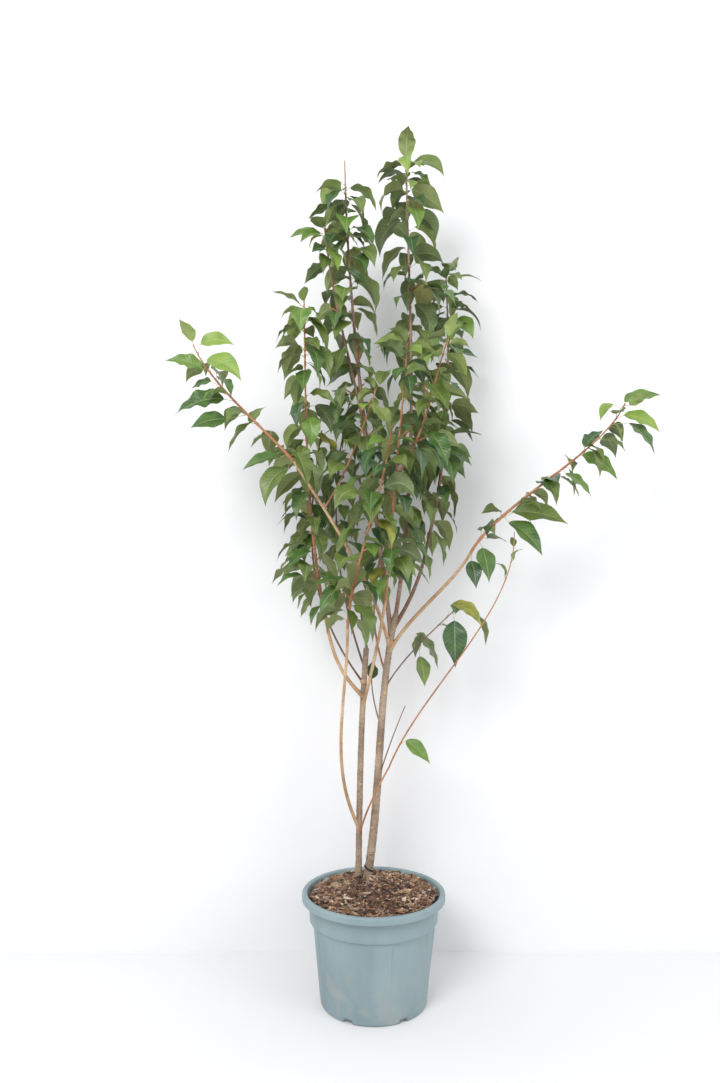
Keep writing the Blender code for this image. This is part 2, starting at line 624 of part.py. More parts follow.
def grow(crown, name):
    """The leaves and the short spurs of one leafy stem, as (leaf, stem radius) and (rings) lists."""
    growth = FOLIAGE[name]
    rng = random.Random(growth.seed)
    ends = stem_ends(name)
    length = sum((curve_point(ends, (i + 1) / 40) - curve_point(ends, i / 40)).length for i in range(40))
    leaves = list(crown.placed[name])
    spurs = []
    turn = rng.uniform(0, math.tau)
    spur_places = [
        growth.first + (growth.last - growth.first) * 0.75 * (k + 0.5) / growth.spurs for k in range(growth.spurs)
    ]
    for place in spur_places:
        along = curve_direction(ends, place)
        root = curve_point(ends, place)
        turn += DIVERGENCE
        outward = Quaternion(along, turn) @ along.orthogonal().normalized()
        direction = (outward * 0.8 + UP * 0.6).normalized()
        reach = rng.uniform(0.035, 0.06)
        end = root + direction * reach
        rings = [(root, direction, 0.0024), (end, direction, 0.0018)]
        guard = BVHTree.FromPolygons(*tube_mesh([(root + direction * 0.013, direction, 0.005), rings[1]], 3))
        blocked = any(guard.overlap(other) for other in crown.stems)
        blocked = blocked or any(guard.overlap(other) for _, _, other in crown.guards)
        if blocked or crown.owner(end) != growth.mass:
            continue
        spurs.append(rings)
        for share in (0.45, 0.7, 0.95):
            turn += DIVERGENCE
            spread = Quaternion(direction, turn) @ direction.orthogonal().normalized()
            blade = growth.length * rng.uniform(0.75, 1.05)
            leaf = grow_leaf(crown, rng, growth.mass, root.lerp(end, share), direction, spread, blade, growth.droop)
            if leaf:
                leaves.append((leaf, 0.0017))
        crown.add_twig(rings)
    distance = growth.first * length
    while distance < growth.last * length:
        place = distance / length
        along = curve_direction(ends, place)
        turn += DIVERGENCE + rng.gauss(0, 0.15)
        outward = Quaternion(along, turn) @ along.orthogonal().normalized()
        young = min(1.0, 0.65 + 0.35 * (length - distance) / YOUNG_LENGTH)
        blade = growth.length * rng.uniform(0.8, 1.15) * young
        droop = growth.droop * (2 * young - 1)
        root = curve_point(ends, place)
        leaf = grow_leaf(crown, rng, growth.mass, root, along, outward, blade, droop)
        if leaf:
            leaves.append((leaf, stem_radius(name, place)))
        distance += growth.gap * rng.uniform(0.8, 1.2)
    for number in range(growth.tuft):
        place = TUFT_PLACE - TUFT_STEP * number
        along = curve_direction(ends, place)
        turn += DIVERGENCE
        outward = Quaternion(along, turn) @ along.orthogonal().normalized()
        root = curve_point(ends, place)
        blade = growth.length * rng.uniform(0.6, 0.85)
        leaf = grow_leaf(crown, rng, growth.mass, root, along, outward, blade, TUFT_DROOP[number])
        if leaf:
            leaves.append((leaf, stem_radius(name, place)))
    return leaves, spurs


def apply_modifiers(thing):
    """Replaces the object's mesh by what its modifiers make of it."""
    graph = bpy.context.evaluated_depsgraph_get()
    made = bpy.data.meshes.new_from_object(thing.evaluated_get(graph))
    made.name = thing.name
    thing.modifiers.clear()
    thing.data = made


def make_mass(crown, name, wood, leaf_green):
    """One leafy shoot: its stem, forks, spurs and leaves, united into one solid."""
    pieces = bpy.data.collections.new(name + " pieces")
    bpy.context.scene.collection.children.link(pieces)
    shoot = make_stem(name, wood)
    shoot.data.materials.append(leaf_green)
    for member, growth in FOLIAGE.items():
        if growth.mass != name:
            continue
        if member != name:
            make_stem(member, wood, pieces)
        leaves, spurs = grow(crown, member)
        for number, rings in enumerate(spurs):
            vertices, faces = tube_mesh(rings, 3)
            mesh_object(f"{member} spur {number}", vertices, faces, wood, pieces)
        for number, (leaf, radius) in enumerate(leaves):
            root_radius = min(ROOT_RADIUS, radius * 0.5)
            vertices, faces = leaf_solid(leaf, root_radius, BLADE_THICKNESS)
            blade = mesh_object(f"{member} leaf {number}", vertices, faces, leaf_green, pieces)
            face_outward(blade)
    if pieces.objects:
        join = shoot.modifiers.new("join leaves", "BOOLEAN")
        join.operation = "UNION"
        join.operand_type = "COLLECTION"
        join.collection = pieces
        join.solver = "EXACT"
        apply_modifiers(shoot)
    for piece in list(pieces.objects):
        bpy.data.objects.remove(piece, do_unlink=True)
    bpy.data.collections.remove(pieces)
    seat_on_parent(shoot, name, wood)
    return shoot


def main():
    clear_scene()
    plastic = material("slate plastic", (0.36, 0.43, 0.45), 0.55)
    mix = material("bark chips", (0.20, 0.13, 0.09), 0.95)
    bark = material("grey-tan bark", (0.36, 0.27, 0.19), 0.8)
    shoot_bark = material("red-brown bark", (0.30, 0.15, 0.09), 0.7)
    dead_bark = material("dead bark", (0.06, 0.04, 0.035), 0.9)
    leaf_green = material("leaf green", (0.13, 0.22, 0.05), 0.5)
    black = material("black tie", (0.02, 0.02, 0.02), 0.6)
    make_pot(plastic)
    make_potting_mix(mix)
    make_tie(black)
    for name in TRUNKS:
        make_stem(name, bark)
    for name in LIMBS:
        finish = dead_bark if name == "dead_stub" else bark
        seat_on_parent(make_stem(name, finish), name, finish)
    crown = Crown()
    for name in LEAFY_STEMS:
        make_mass(crown, name, shoot_bark, leaf_green)
    print(len(crown.guards), "leaves")


main()
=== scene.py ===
import json
import math
import random
from collections import namedtuple

import bpy
from mathutils import Matrix, Quaternion, Vector, noise
from mathutils.bvhtree import BVHTree
from mathutils.kdtree import KDTree

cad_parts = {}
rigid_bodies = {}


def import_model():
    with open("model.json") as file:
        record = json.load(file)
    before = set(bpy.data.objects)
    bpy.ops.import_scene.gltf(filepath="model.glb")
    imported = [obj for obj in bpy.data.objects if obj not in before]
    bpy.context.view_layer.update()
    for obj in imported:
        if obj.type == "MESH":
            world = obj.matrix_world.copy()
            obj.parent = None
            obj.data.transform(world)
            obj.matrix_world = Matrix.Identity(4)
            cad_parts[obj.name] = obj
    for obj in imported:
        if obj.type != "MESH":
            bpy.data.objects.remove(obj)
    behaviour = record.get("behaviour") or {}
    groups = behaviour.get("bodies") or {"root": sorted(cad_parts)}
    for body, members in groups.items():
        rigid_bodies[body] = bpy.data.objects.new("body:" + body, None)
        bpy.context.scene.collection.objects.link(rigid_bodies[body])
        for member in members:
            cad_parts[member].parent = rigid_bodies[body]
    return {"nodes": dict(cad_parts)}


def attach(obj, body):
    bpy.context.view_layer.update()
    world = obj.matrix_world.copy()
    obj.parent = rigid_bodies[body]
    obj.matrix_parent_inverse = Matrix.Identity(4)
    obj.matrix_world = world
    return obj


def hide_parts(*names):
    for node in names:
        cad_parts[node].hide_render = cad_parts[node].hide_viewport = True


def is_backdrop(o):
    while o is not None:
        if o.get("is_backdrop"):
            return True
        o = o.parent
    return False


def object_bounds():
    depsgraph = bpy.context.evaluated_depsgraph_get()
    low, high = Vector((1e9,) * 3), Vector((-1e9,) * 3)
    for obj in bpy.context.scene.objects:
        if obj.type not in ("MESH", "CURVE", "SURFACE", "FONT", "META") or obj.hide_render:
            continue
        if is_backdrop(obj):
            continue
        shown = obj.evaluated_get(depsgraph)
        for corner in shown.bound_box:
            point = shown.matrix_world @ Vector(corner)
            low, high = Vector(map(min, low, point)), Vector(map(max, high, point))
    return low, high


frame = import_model()
cad_low, cad_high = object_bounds()
UP = Vector((0.0, 0.0, 1.0))
GAP = 0.0003
LEAF_MASSES = sorted(name for name in frame["nodes"] if name.startswith("leaves_"))
print("height", round(cad_high[2] - cad_low[2], 3), "m;", len(LEAF_MASSES), "leafy shoots")

# %% [markdown]
# ## Helpers
#
# Every piece here is a list of vertices and a list of faces. They could be modelled by hand, but a plant
# has too many alike parts for that, so functions work them out. `dress` hides the CAD solids that the new
# piece stands for, and makes the piece move with the plant's one body.
# %% Helpers


def new_mesh(name, vertices, faces, materials, corners=None, smooth=True):
    mesh = bpy.data.meshes.new(name)
    mesh.from_pydata(vertices, [], faces)
    for finish in materials:
        mesh.materials.append(finish)
    if corners:
        layer = mesh.uv_layers.new(name="blade")
        layer.data.foreach_set("uv", corners)
    if smooth:
        mesh.shade_smooth()
    piece = bpy.data.objects.new(name, mesh)
    bpy.context.scene.collection.objects.link(piece)
    return piece


def dress(piece, slot, *nodes):
    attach(piece, "root")
    if nodes:
        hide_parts(*nodes)
    print(piece.name, len(piece.data.polygons), "faces")
    return piece


# %% [markdown]
# ## Materials from nodes
#
# Real surfaces are never one flat colour. A picture could be wrapped round them, but a texture made from
# nodes fits any shape and stays sharp close up. `Paint` starts from a Principled shader and adds nodes
# and links, so that a material reads from top to bottom: a texture, a ramp of colours, then the shader.
# %% Paint helper


class Paint:
    def __init__(self, name, roughness):
        self.material = bpy.data.materials.new(name)
        self.material.use_nodes = True
        self.tree = self.material.node_tree
        self.shader = self.tree.nodes["Principled BSDF"]
        self.shader.inputs["Roughness"].default_value = roughness
        self.place = self.add("ShaderNodeTexCoord").outputs["Object"]

    def add(self, kind, **inputs):
        node = self.tree.nodes.new(kind)
        for key, value in inputs.items():
            self.put(node, key.replace("_", " "), value)
        return node

    def put(self, node, key, value):
        if isinstance(value, bpy.types.NodeSocket):
            self.tree.links.new(value, node.inputs[key])
        else:
            node.inputs[key].default_value = value

    def math(self, operation, a, b=0.0):
        node = self.tree.nodes.new("ShaderNodeMath")
        node.operation = operation
        self.put(node, 0, a)
        self.put(node, 1, b)
        return node.outputs[0]

    def plus(self, a, b):
        return self.math("ADD", a, b)

    def minus(self, a, b):
        return self.math("SUBTRACT", a, b)

    def times(self, a, b):
        return self.math("MULTIPLY", a, b)

    def stretch(self, scale):
        node = self.add("ShaderNodeMapping")
        self.put(node, "Vector", self.place)
        node.inputs["Scale"].default_value = scale
        return node.outputs["Vector"]

    def noise(self, scale, detail=4.0, vector=None):
        node = self.add("ShaderNodeTexNoise", Scale=scale, Detail=detail)
        self.put(node, "Vector", vector or self.place)
        return node.outputs["Fac"]

    def ramp(self, factor, *stops):
        node = self.add("ShaderNodeValToRGB")
        self.put(node, "Fac", factor)
        colours = node.color_ramp.elements
        while len(colours) < len(stops):
            colours.new(0.5)
        for element, (position, colour) in zip(colours, stops):
            element.position = position
            element.color = (*colour, 1.0)
        return node.outputs["Color"]

    def blend(self, factor, first, second):
        node = self.add("ShaderNodeMix")
        node.data_type = "RGBA"
        self.put(node, 0, factor)
        self.put(node, 6, first)
        self.put(node, 7, second)
        return node.outputs[2]

    def bump(self, height, strength, distance):
        node = self.add("ShaderNodeBump", Strength=strength, Distance=distance)
        self.put(node, "Height", height)
        self.put(self.shader, "Normal", node.outputs["Normal"])

    def colour(self, socket):
        self.put(self.shader, "Base Color", socket)


# %% [markdown]
# ## Bark
#
# Cherry bark is smooth and tan, with small raised pores called lenticels that run round the stem. They
# could be modelled one by one, but they are under a millimetre high, so a noise that is squeezed along
# the height makes them, in the colour and in a slight bump. Young shoots are redder and old twigs darker,
# so one function takes the colours of each kind.
# %% Bark materials


def bark(name, dark, middle, pale, pores=0.5):
    paint = Paint(name, 0.62)
    broad = paint.noise(14.0, 3.0)
    fine = paint.noise(180.0, 5.0)
    pore = paint.noise(150.0, 1.0, paint.stretch((0.55, 0.55, 2.2)))
    mixed = paint.plus(paint.times(broad, 0.65), paint.times(fine, 0.35))
    body = paint.ramp(mixed, (0.36, dark), (0.5, middle), (0.66, pale))
    mask = paint.ramp(pore, (0.60, (0.0, 0.0, 0.0)), (0.68, (pores, pores, pores)))
    speck = tuple(0.55 * value for value in dark)
    paint.colour(paint.blend(mask, body, (*speck, 1.0)))
    paint.bump(paint.plus(fine, pore), 0.55, 0.0009)
    return paint.material


trunk_bark = bark("trunk bark", (0.19, 0.135, 0.095), (0.31, 0.225, 0.155), (0.43, 0.34, 0.25), 0.75)
limb_bark = bark("limb bark", (0.33, 0.19, 0.095), (0.47, 0.30, 0.16), (0.58, 0.42, 0.27), 0.5)
leader_bark = bark("leader bark", (0.17, 0.085, 0.055), (0.29, 0.165, 0.115), (0.40, 0.29, 0.235), 0.6)
shoot_bark = bark("shoot bark", (0.24, 0.085, 0.04), (0.38, 0.16, 0.07), (0.48, 0.25, 0.13), 0.4)
twig_bark = bark("twig bark", (0.09, 0.045, 0.035), (0.17, 0.085, 0.06), (0.25, 0.15, 0.11), 0.4)
dead_bark = bark("dead bark", (0.02, 0.014, 0.012), (0.05, 0.035, 0.03), (0.09, 0.07, 0.06), 0.3)

# %% [markdown]
# ## Leaf materials
#
# A cherry leaf has a pale midrib with about ten pairs of side veins, a fairly glossy upper side and a
# paler, duller underside. The blade carries a grid from its base to its tip and from edge to edge, so the
# midrib is the line down its middle and the veins are thin lines that slope across it. The Backfacing
# output of the Geometry node tells the two sides apart. Six tones are enough, because each leaf gets its
# own pose and shade.
# %% Leaf materials
SIDE_VEINS = 11.0


def leaf_paint(name, deep, light, under, roughness=0.42):
    paint = Paint(name, roughness)
    grid = paint.add("ShaderNodeSeparateXYZ")
    grid_source = paint.add("ShaderNodeUVMap")
    paint.put(grid, "Vector", grid_source.outputs["UV"])
    along, across = grid.outputs["X"], grid.outputs["Y"]
    from_middle = paint.math("ABSOLUTE", paint.minus(paint.times(across, 2.0), 1.0))
    slope = paint.minus(along, paint.times(from_middle, 0.17))
    phase = paint.math("FRACT", paint.times(slope, SIDE_VEINS))
    ridge = paint.math("ABSOLUTE", paint.minus(phase, 0.5))
    side_vein = paint.math("LESS_THAN", ridge, 0.05)
    midrib = paint.math("LESS_THAN", from_middle, 0.045)
    vein = paint.math("MAXIMUM", paint.times(side_vein, 0.35), paint.times(midrib, 0.8))
    patch = paint.noise(28.0, 3.0)
    upper = paint.ramp(patch, (0.34, deep), (0.68, light))
    pale = tuple(min(1.0, 0.5 * value + 0.22) for value in light)
    veined = paint.blend(vein, upper, (pale[0], pale[1], pale[2] * 0.5, 1.0))
    lower = paint.blend(paint.times(vein, 0.6), (*under, 1.0), (0.42, 0.48, 0.22, 1.0))
    back = paint.add("ShaderNodeNewGeometry").outputs["Backfacing"]
    paint.colour(paint.blend(back, veined, lower))
    dull = paint.plus(paint.times(back, 0.25), roughness)
    paint.put(paint.shader, "Roughness", dull)
    puff = paint.plus(ridge, paint.times(paint.noise(220.0, 3.0), 0.25))
    paint.bump(puff, 0.45, 0.0016)
    return paint.material


leaf_tones = [
    leaf_paint("leaf deep green", (0.022, 0.066, 0.024), (0.050, 0.118, 0.030), (0.120, 0.170, 0.062), 0.34),
    leaf_paint("leaf green", (0.040, 0.098, 0.022), (0.082, 0.168, 0.030), (0.150, 0.205, 0.066), 0.38),
    leaf_paint("leaf olive", (0.078, 0.125, 0.024), (0.128, 0.190, 0.036), (0.195, 0.240, 0.080), 0.42),
    leaf_paint("leaf light green", (0.085, 0.175, 0.026), (0.140, 0.245, 0.040), (0.225, 0.300, 0.085), 0.4),
    leaf_paint("leaf young", (0.150, 0.255, 0.034), (0.225, 0.340, 0.055), (0.270, 0.350, 0.100), 0.43),
    leaf_paint("leaf yellowing", (0.120, 0.160, 0.024), (0.400, 0.370, 0.055), (0.300, 0.300, 0.095), 0.5),
]
stalk_paint = Paint("leaf stalk", 0.5)
stalk_green = (0.30, 0.33, 0.09)
stalk_tan = (0.42, 0.36, 0.13)
stalk_paint.colour(stalk_paint.ramp(stalk_paint.noise(30.0), (0.3, stalk_green), (0.7, stalk_tan)))
print(len(leaf_tones), "leaf tones")

# %% [markdown]
# ## The pot
#
# The real pot is moulded in one piece, with a turned-down lip, a plain collar, a tapering body and drain
# notches round the foot. A turned profile gives all of that but the notches and the panels, so those
# change the radius with the angle instead of being cut out afterwards. These sizes are the CAD's, in
# metres.
# %% Pot sizes
POT_HEIGHT = 0.312
POT_WALL = 0.003
POT_FLOOR = 0.004
FOOT_RADIUS = 0.154
FOOT_CORNER = 0.008
BODY_TOP_RADIUS = 0.178
COLLAR_BOTTOM = 0.229
COLLAR_RADIUS = 0.187
LIP_BOTTOM = 0.2915
LIP_RADIUS = 0.2075
LIP_INNER_RADIUS = 0.1913
LIP_ROUND = 0.006
DRAIN_NOTCHES = 6
DRAIN_FIRST = math.radians(-28.5)  # turned from the front, towards the right
DRAIN_WIDTH = 0.028
DRAIN_HEIGHT = 0.010
# The mix is filled to just under the rim and slightly heaped round the trunks
MIX_EDGE = 0.303
MIX_CROWN = 0.3247
MIX_CROWN_RADIUS = 0.105

print("pot", 2 * LIP_RADIUS, "m over the lip,", POT_HEIGHT, "m high")

# %% [markdown]
# ## The pot's panels and notches
#
# Six wide panels are pressed into the body below the collar, with a thin rib along each side, and they
# fade out towards the foot. Each point of the turned wall asks how far it is moved in. That keeps one
# closed wall with even faces, which a Boolean cut wouldn't.
# %% Panels and notches
PANELS = 6
PANEL_DEPTH = 0.0020
PANEL_HALF = math.radians(21)
PANEL_EDGE = math.radians(3.5)
PANEL_FIRST = math.radians(-84)
PANEL_EVERY = math.tau / PANELS
PANEL_FOOT = 0.045
PANEL_FADE = 0.14  # over this height the panel grows to its full depth
PANEL_HEAD = 0.008
RIB_HEIGHT = 0.0028
RIB_HALF = math.radians(1.6)
NOTCH_DEPTH = 0.016
WEAR = 0.0005


def body_radius(height):
    share = (height - FOOT_CORNER) / (COLLAR_BOTTOM - FOOT_CORNER)
    return FOOT_RADIUS + (BODY_TOP_RADIUS - FOOT_RADIUS) * max(share, 0.0)


def from_nearest(angle, first, every):
    """The angle to the nearest of several places that are spread evenly round the pot."""
    return (angle - first + every / 2) % every - every / 2


def panel(angle, height):
    """How deep the body is pressed in at this angle and height."""
    if not PANEL_FOOT < height < COLLAR_BOTTOM:
        return 0.0
    off = abs(from_nearest(angle, PANEL_FIRST, PANEL_EVERY))
    dip = max(0.0, min(1.0, (PANEL_HALF - off) / PANEL_EDGE))
    fade = min(1.0, (height - PANEL_FOOT) / PANEL_FADE, (COLLAR_BOTTOM - height) / PANEL_HEAD)
    rib = max(0.0, 1.0 - abs(off - PANEL_HALF) / RIB_HALF)
    return (PANEL_DEPTH * dip - RIB_HEIGHT * rib) * fade


def in_notch(angle, height):
    """Whether a point of the foot falls in one of the drain notches."""
    off = from_nearest(angle, DRAIN_FIRST, math.tau / DRAIN_NOTCHES)
    return height < DRAIN_HEIGHT and abs(off) * FOOT_RADIUS < DRAIN_WIDTH / 2


def pot_shift(angle, radius, height):
    worn = WEAR * noise.noise(Vector((math.sin(angle) * 3, math.cos(angle) * 3, height * 12)))
    if radius > FOOT_RADIUS - 2 * FOOT_CORNER and in_notch(angle, height):
        return NOTCH_DEPTH
    if radius < body_radius(height) - 0.001:
        return 0.0
    return panel(angle, height) + worn


print(PANELS, "panels and", DRAIN_NOTCHES, "notches")

# %% [markdown]
# ## The pot's profile
#
# The profile runs from the middle of the underside up the outside, over the lip and down the inside to
# the middle of the floor. Arcs round its edges, because a sharp edge would catch no light.
# %% Turn the pot
ROUND_STEPS = 480


def arc(centre_radius, centre_height, radius, start, stop, steps=8):
    points = []
    for step in range(steps + 1):
        angle = math.radians(start + (stop - start) * step / steps)
        points.append((centre_radius + radius * math.cos(angle), centre_height + radius * math.sin(angle)))
    return points


def turn_profile(profile, shift):
    vertices = []
    faces = []
    for radius, height in profile:
        for step in range(ROUND_STEPS):
            angle = math.tau * step / ROUND_STEPS
            reach = radius - shift(angle, radius, height)
            vertices.append((reach * math.sin(angle), -reach * math.cos(angle), height))
    for row in range(len(profile) - 1):
        for step in range(ROUND_STEPS):
            here = row * ROUND_STEPS + step
            beside = row * ROUND_STEPS + (step + 1) % ROUND_STEPS
            faces.append((here, beside, beside + ROUND_STEPS, here + ROUND_STEPS))
    return vertices, faces


outer = [(0.0, 0.0), (0.06, 0.0), (0.12, 0.0)]
outer += arc(FOOT_RADIUS - FOOT_CORNER, FOOT_CORNER, FOOT_CORNER, -90, 0)
outer += [(body_radius(0.012 + 0.007 * step), 0.012 + 0.007 * step) for step in range(31)]
outer += arc(BODY_TOP_RADIUS + 0.0025, COLLAR_BOTTOM + 0.0015, 0.0025, 180, 90, 4)
outer += arc(COLLAR_RADIUS - 0.0045, COLLAR_BOTTOM + 0.007, 0.003, -90, 0, 4)
outer += [(COLLAR_RADIUS - 0.001, COLLAR_BOTTOM + 0.02), (COLLAR_RADIUS, LIP_BOTTOM + POT_WALL)]
outer += [(LIP_RADIUS - POT_WALL, LIP_BOTTOM + POT_WALL), (LIP_RADIUS - POT_WALL + 0.0003, LIP_BOTTOM)]
outer += arc(LIP_RADIUS - 0.0012, LIP_BOTTOM + 0.0012, 0.0012, -90, 0, 4)
outer += arc(LIP_RADIUS - LIP_ROUND, POT_HEIGHT - LIP_ROUND, LIP_ROUND, 0, 90)
inner = arc(LIP_INNER_RADIUS + LIP_ROUND, POT_HEIGHT - LIP_ROUND, LIP_ROUND, 90, 180)
inner += [(COLLAR_RADIUS - POT_WALL, LIP_BOTTOM), (COLLAR_RADIUS - POT_WALL, 0.24)]
inner += [(BODY_TOP_RADIUS - POT_WALL, 0.228), (FOOT_RADIUS - POT_WALL, 0.012)]
inner += [(0.1, POT_FLOOR), (0.0, POT_FLOOR)]
profile = outer + inner
pot_mesh = turn_profile(profile, pot_shift)
print(len(profile), "points in the profile")

# %% [markdown]
# ## The pot's plastic
#
# The plastic is slate blue, bleached in upright streaks, with dried mud low on one side. Noises at three
# sizes make the streaks, the mud's patches and the fine scuffs. Mud is brown only where it's low, to the
# left and in a patch, so three factors are multiplied.
# %% Pot material
pot_paint = Paint("slate plastic", 0.48)
dust = pot_paint.noise(9.0, 8.0, pot_paint.stretch((1.0, 1.0, 0.35)))
scuff = pot_paint.noise(160.0, 3.0)
plastic = pot_paint.ramp(dust, (0.30, (0.185, 0.262, 0.285)), (0.62, (0.250, 0.330, 0.350)))
low = pot_paint.add("ShaderNodeSeparateXYZ")
pot_paint.put(low, "Vector", pot_paint.place)
mud = pot_paint.times(pot_paint.minus(0.20, low.outputs["Z"]), 6.0)
left = pot_paint.plus(pot_paint.times(low.outputs["X"], -2.2), 0.45)
patchy = pot_paint.ramp(pot_paint.noise(17.0, 9.0), (0.48, (0, 0, 0)), (0.60, (1, 1, 1)))
stain = pot_paint.times(pot_paint.times(mud, left), patchy)
stain.node.use_clamp = True
pot_paint.colour(pot_paint.blend(pot_paint.times(stain, 0.6), plastic, (0.42, 0.37, 0.31, 1.0)))
dullness = pot_paint.plus(0.40, pot_paint.times(dust, 0.25))
pot_paint.put(pot_paint.shader, "Roughness", dullness)
pot_paint.bump(scuff, 0.12, 0.0006)
pot = new_mesh("pot_body", *pot_mesh, [pot_paint.material])
dress(pot, "pot_plastic", "pot")

# %% [markdown]
# ## The mulch
#
# A mound of compost fills the pot to the rim, under a layer of shredded bark. A bump on the mound would
# look flat from the side, so thousands of chips lie on it, each a small rough slab of its own size and
# tilt. They are sorted by colour into six pieces with one material each. It is damp in front of the
# trunks, where more of the chips are dark.
# %% Mulch
MIX_RADIUS = COLLAR_RADIUS - POT_WALL - 0.0005
MOUND_ROWS = 24
UNDER_CHIPS = 0.003
CHIPS = 7000
DARK_PILES = 2
DAMP_PLACE = -0.06
SQUARE = ((-1, -1), (1, -1), (1, 1), (-1, 1))
CUBE_CORNERS = [(x, y, z) for z in (-1, 1) for x, y in SQUARE]
CUBE_FACES = ((0, 3, 2, 1), (4, 5, 6, 7), (0, 1, 5, 4), (1, 2, 6, 5), (2, 3, 7, 6), (3, 0, 4, 7))


def mound(radius):
    share = min(1.0, max(0.0, (MIX_RADIUS - radius) / (MIX_RADIUS - MIX_CROWN_RADIUS)))
    return MIX_EDGE + (MIX_CROWN - MIX_EDGE) * (0.5 - 0.5 * math.cos(math.pi * share))


def mound_shift(angle, radius, height):
    return 0.0


soil_paint = Paint("damp compost", 0.95)
wet_soil = (0.022, 0.013, 0.009)
dry_soil = (0.07, 0.042, 0.028)
soil_paint.colour(soil_paint.ramp(soil_paint.noise(90.0), (0.35, wet_soil), (0.65, dry_soil)))
radii = [MIX_RADIUS * (1 - step / MOUND_ROWS) for step in range(MOUND_ROWS + 1)]
rows = [(MIX_RADIUS, 0.26)] + [(radius, mound(radius) - UNDER_CHIPS) for radius in radii]
soil = new_mesh("compost", *turn_profile(rows, mound_shift), [soil_paint.material])
dress(soil, "bark_chips", "potting_mix")

chip_colours = {
    "chips_dark": (0.045, 0.025, 0.017),
    "chips_brown": (0.125, 0.066, 0.040),
    "chips_red": (0.215, 0.110, 0.060),
    "chips_tan": (0.36, 0.225, 0.135),
    "chips_pale": (0.56, 0.44, 0.32),
    "chips_grey": (0.27, 0.225, 0.19),
}
chip_shares = (0.17, 0.22, 0.22, 0.21, 0.09, 0.09)
CHIP_SIZE = (-5.08, 0.40)  # mean and spread of the logarithm of a chip's half length
chip_rng = random.Random(5)
chip_piles = {name: ([], []) for name in chip_colours}
for _ in range(CHIPS):
    radius = (MIX_RADIUS - 0.006) * math.sqrt(chip_rng.random())
    angle = chip_rng.uniform(0, math.tau)
    size = chip_rng.lognormvariate(*CHIP_SIZE)
    half = Vector((size, size * chip_rng.uniform(0.25, 0.6), size * chip_rng.uniform(0.08, 0.2)))
    centre = Vector((radius * math.sin(angle), -radius * math.cos(angle), mound(radius)))
    centre.z += chip_rng.uniform(-0.002, 0.0035)
    tilt = Matrix.Rotation(chip_rng.uniform(0, math.tau), 3, "Z")
    tilt = tilt @ Matrix.Rotation(chip_rng.gauss(0, 0.4), 3, "X")
    tilt = tilt @ Matrix.Rotation(chip_rng.gauss(0, 0.28), 3, "Y")
    damp = math.exp(-(centre.x**2 + (centre.y - DAMP_PLACE) ** 2) / 0.004)
    likely = [1 + 3 * damp if pile < DARK_PILES else 1 - 0.7 * damp for pile in range(len(chip_shares))]
    weights = [share * more for share, more in zip(chip_shares, likely)]
    vertices, faces = chip_piles[chip_rng.choices(list(chip_colours), weights)[0]]
    first = len(vertices)
    for x, y, z in CUBE_CORNERS:
        rough = Vector(chip_rng.uniform(0.55, 1.1) for _ in range(3))
        corner = Vector((x * half.x * rough.x, y * half.y * rough.y, z * half.z * rough.z))
        vertices.append(centre + tilt @ corner)
    for quad in CUBE_FACES:
        faces.append([first + corner for corner in quad])
for name, (vertices, faces) in chip_piles.items():
    chip_paint = Paint(name, 0.85)
    dark = tuple(0.65 * value for value in chip_colours[name])
    light = tuple(min(1.0, 1.35 * value) for value in chip_colours[name])
    chip_paint.colour(chip_paint.ramp(chip_paint.noise(260.0), (0.3, dark), (0.7, light)))
    pile = new_mesh(name, vertices, faces, [chip_paint.material], smooth=False)
    dress(pile, "bark_chips")

# %% [markdown]
# ## Stems
#
# Two trunks stand side by side, and long straight shoots rise from where they were cut back. Drawing each
# as a curve by hand would take many points, so each is one cubic curve between a foot and a tip. These
# rows are the CAD's own, so the bark lies on the CAD's solids.
#
# A stem leaves its parent's axis at the height foot, or goes on from its parent's tip. Two sideways
# pushes bend it, one low and one high. The radii are those of its foot and of its tip.
# %% Stem sizes
GROUND = MIX_CROWN + GAP
FLARE = 0.0020  # how far the root flare adds to a trunk's radius
FLARE_HEIGHT = 0.022
RING_SPACING = 0.065  # between the rings a stem is drawn through
TAPER_POWER = 1.4
TIP = "tip"
Stem = namedtuple("Stem", "parent foot tip low_sway high_sway foot_radius tip_radius")

TRUNKS = {
    "trunk_left": Stem(
        None, (-0.044, 0.070, GROUND), (-0.020, 0.070, 1.010), (-0.005, 0.0), (-0.010, 0.005), 0.0095, 0.0085
    ),
    "trunk_right": Stem(
        None, (-0.017, 0.068, GROUND), (0.070, 0.070, 1.115), (0.015, 0.0), (-0.030, 0.005), 0.0125, 0.0095
    ),
}

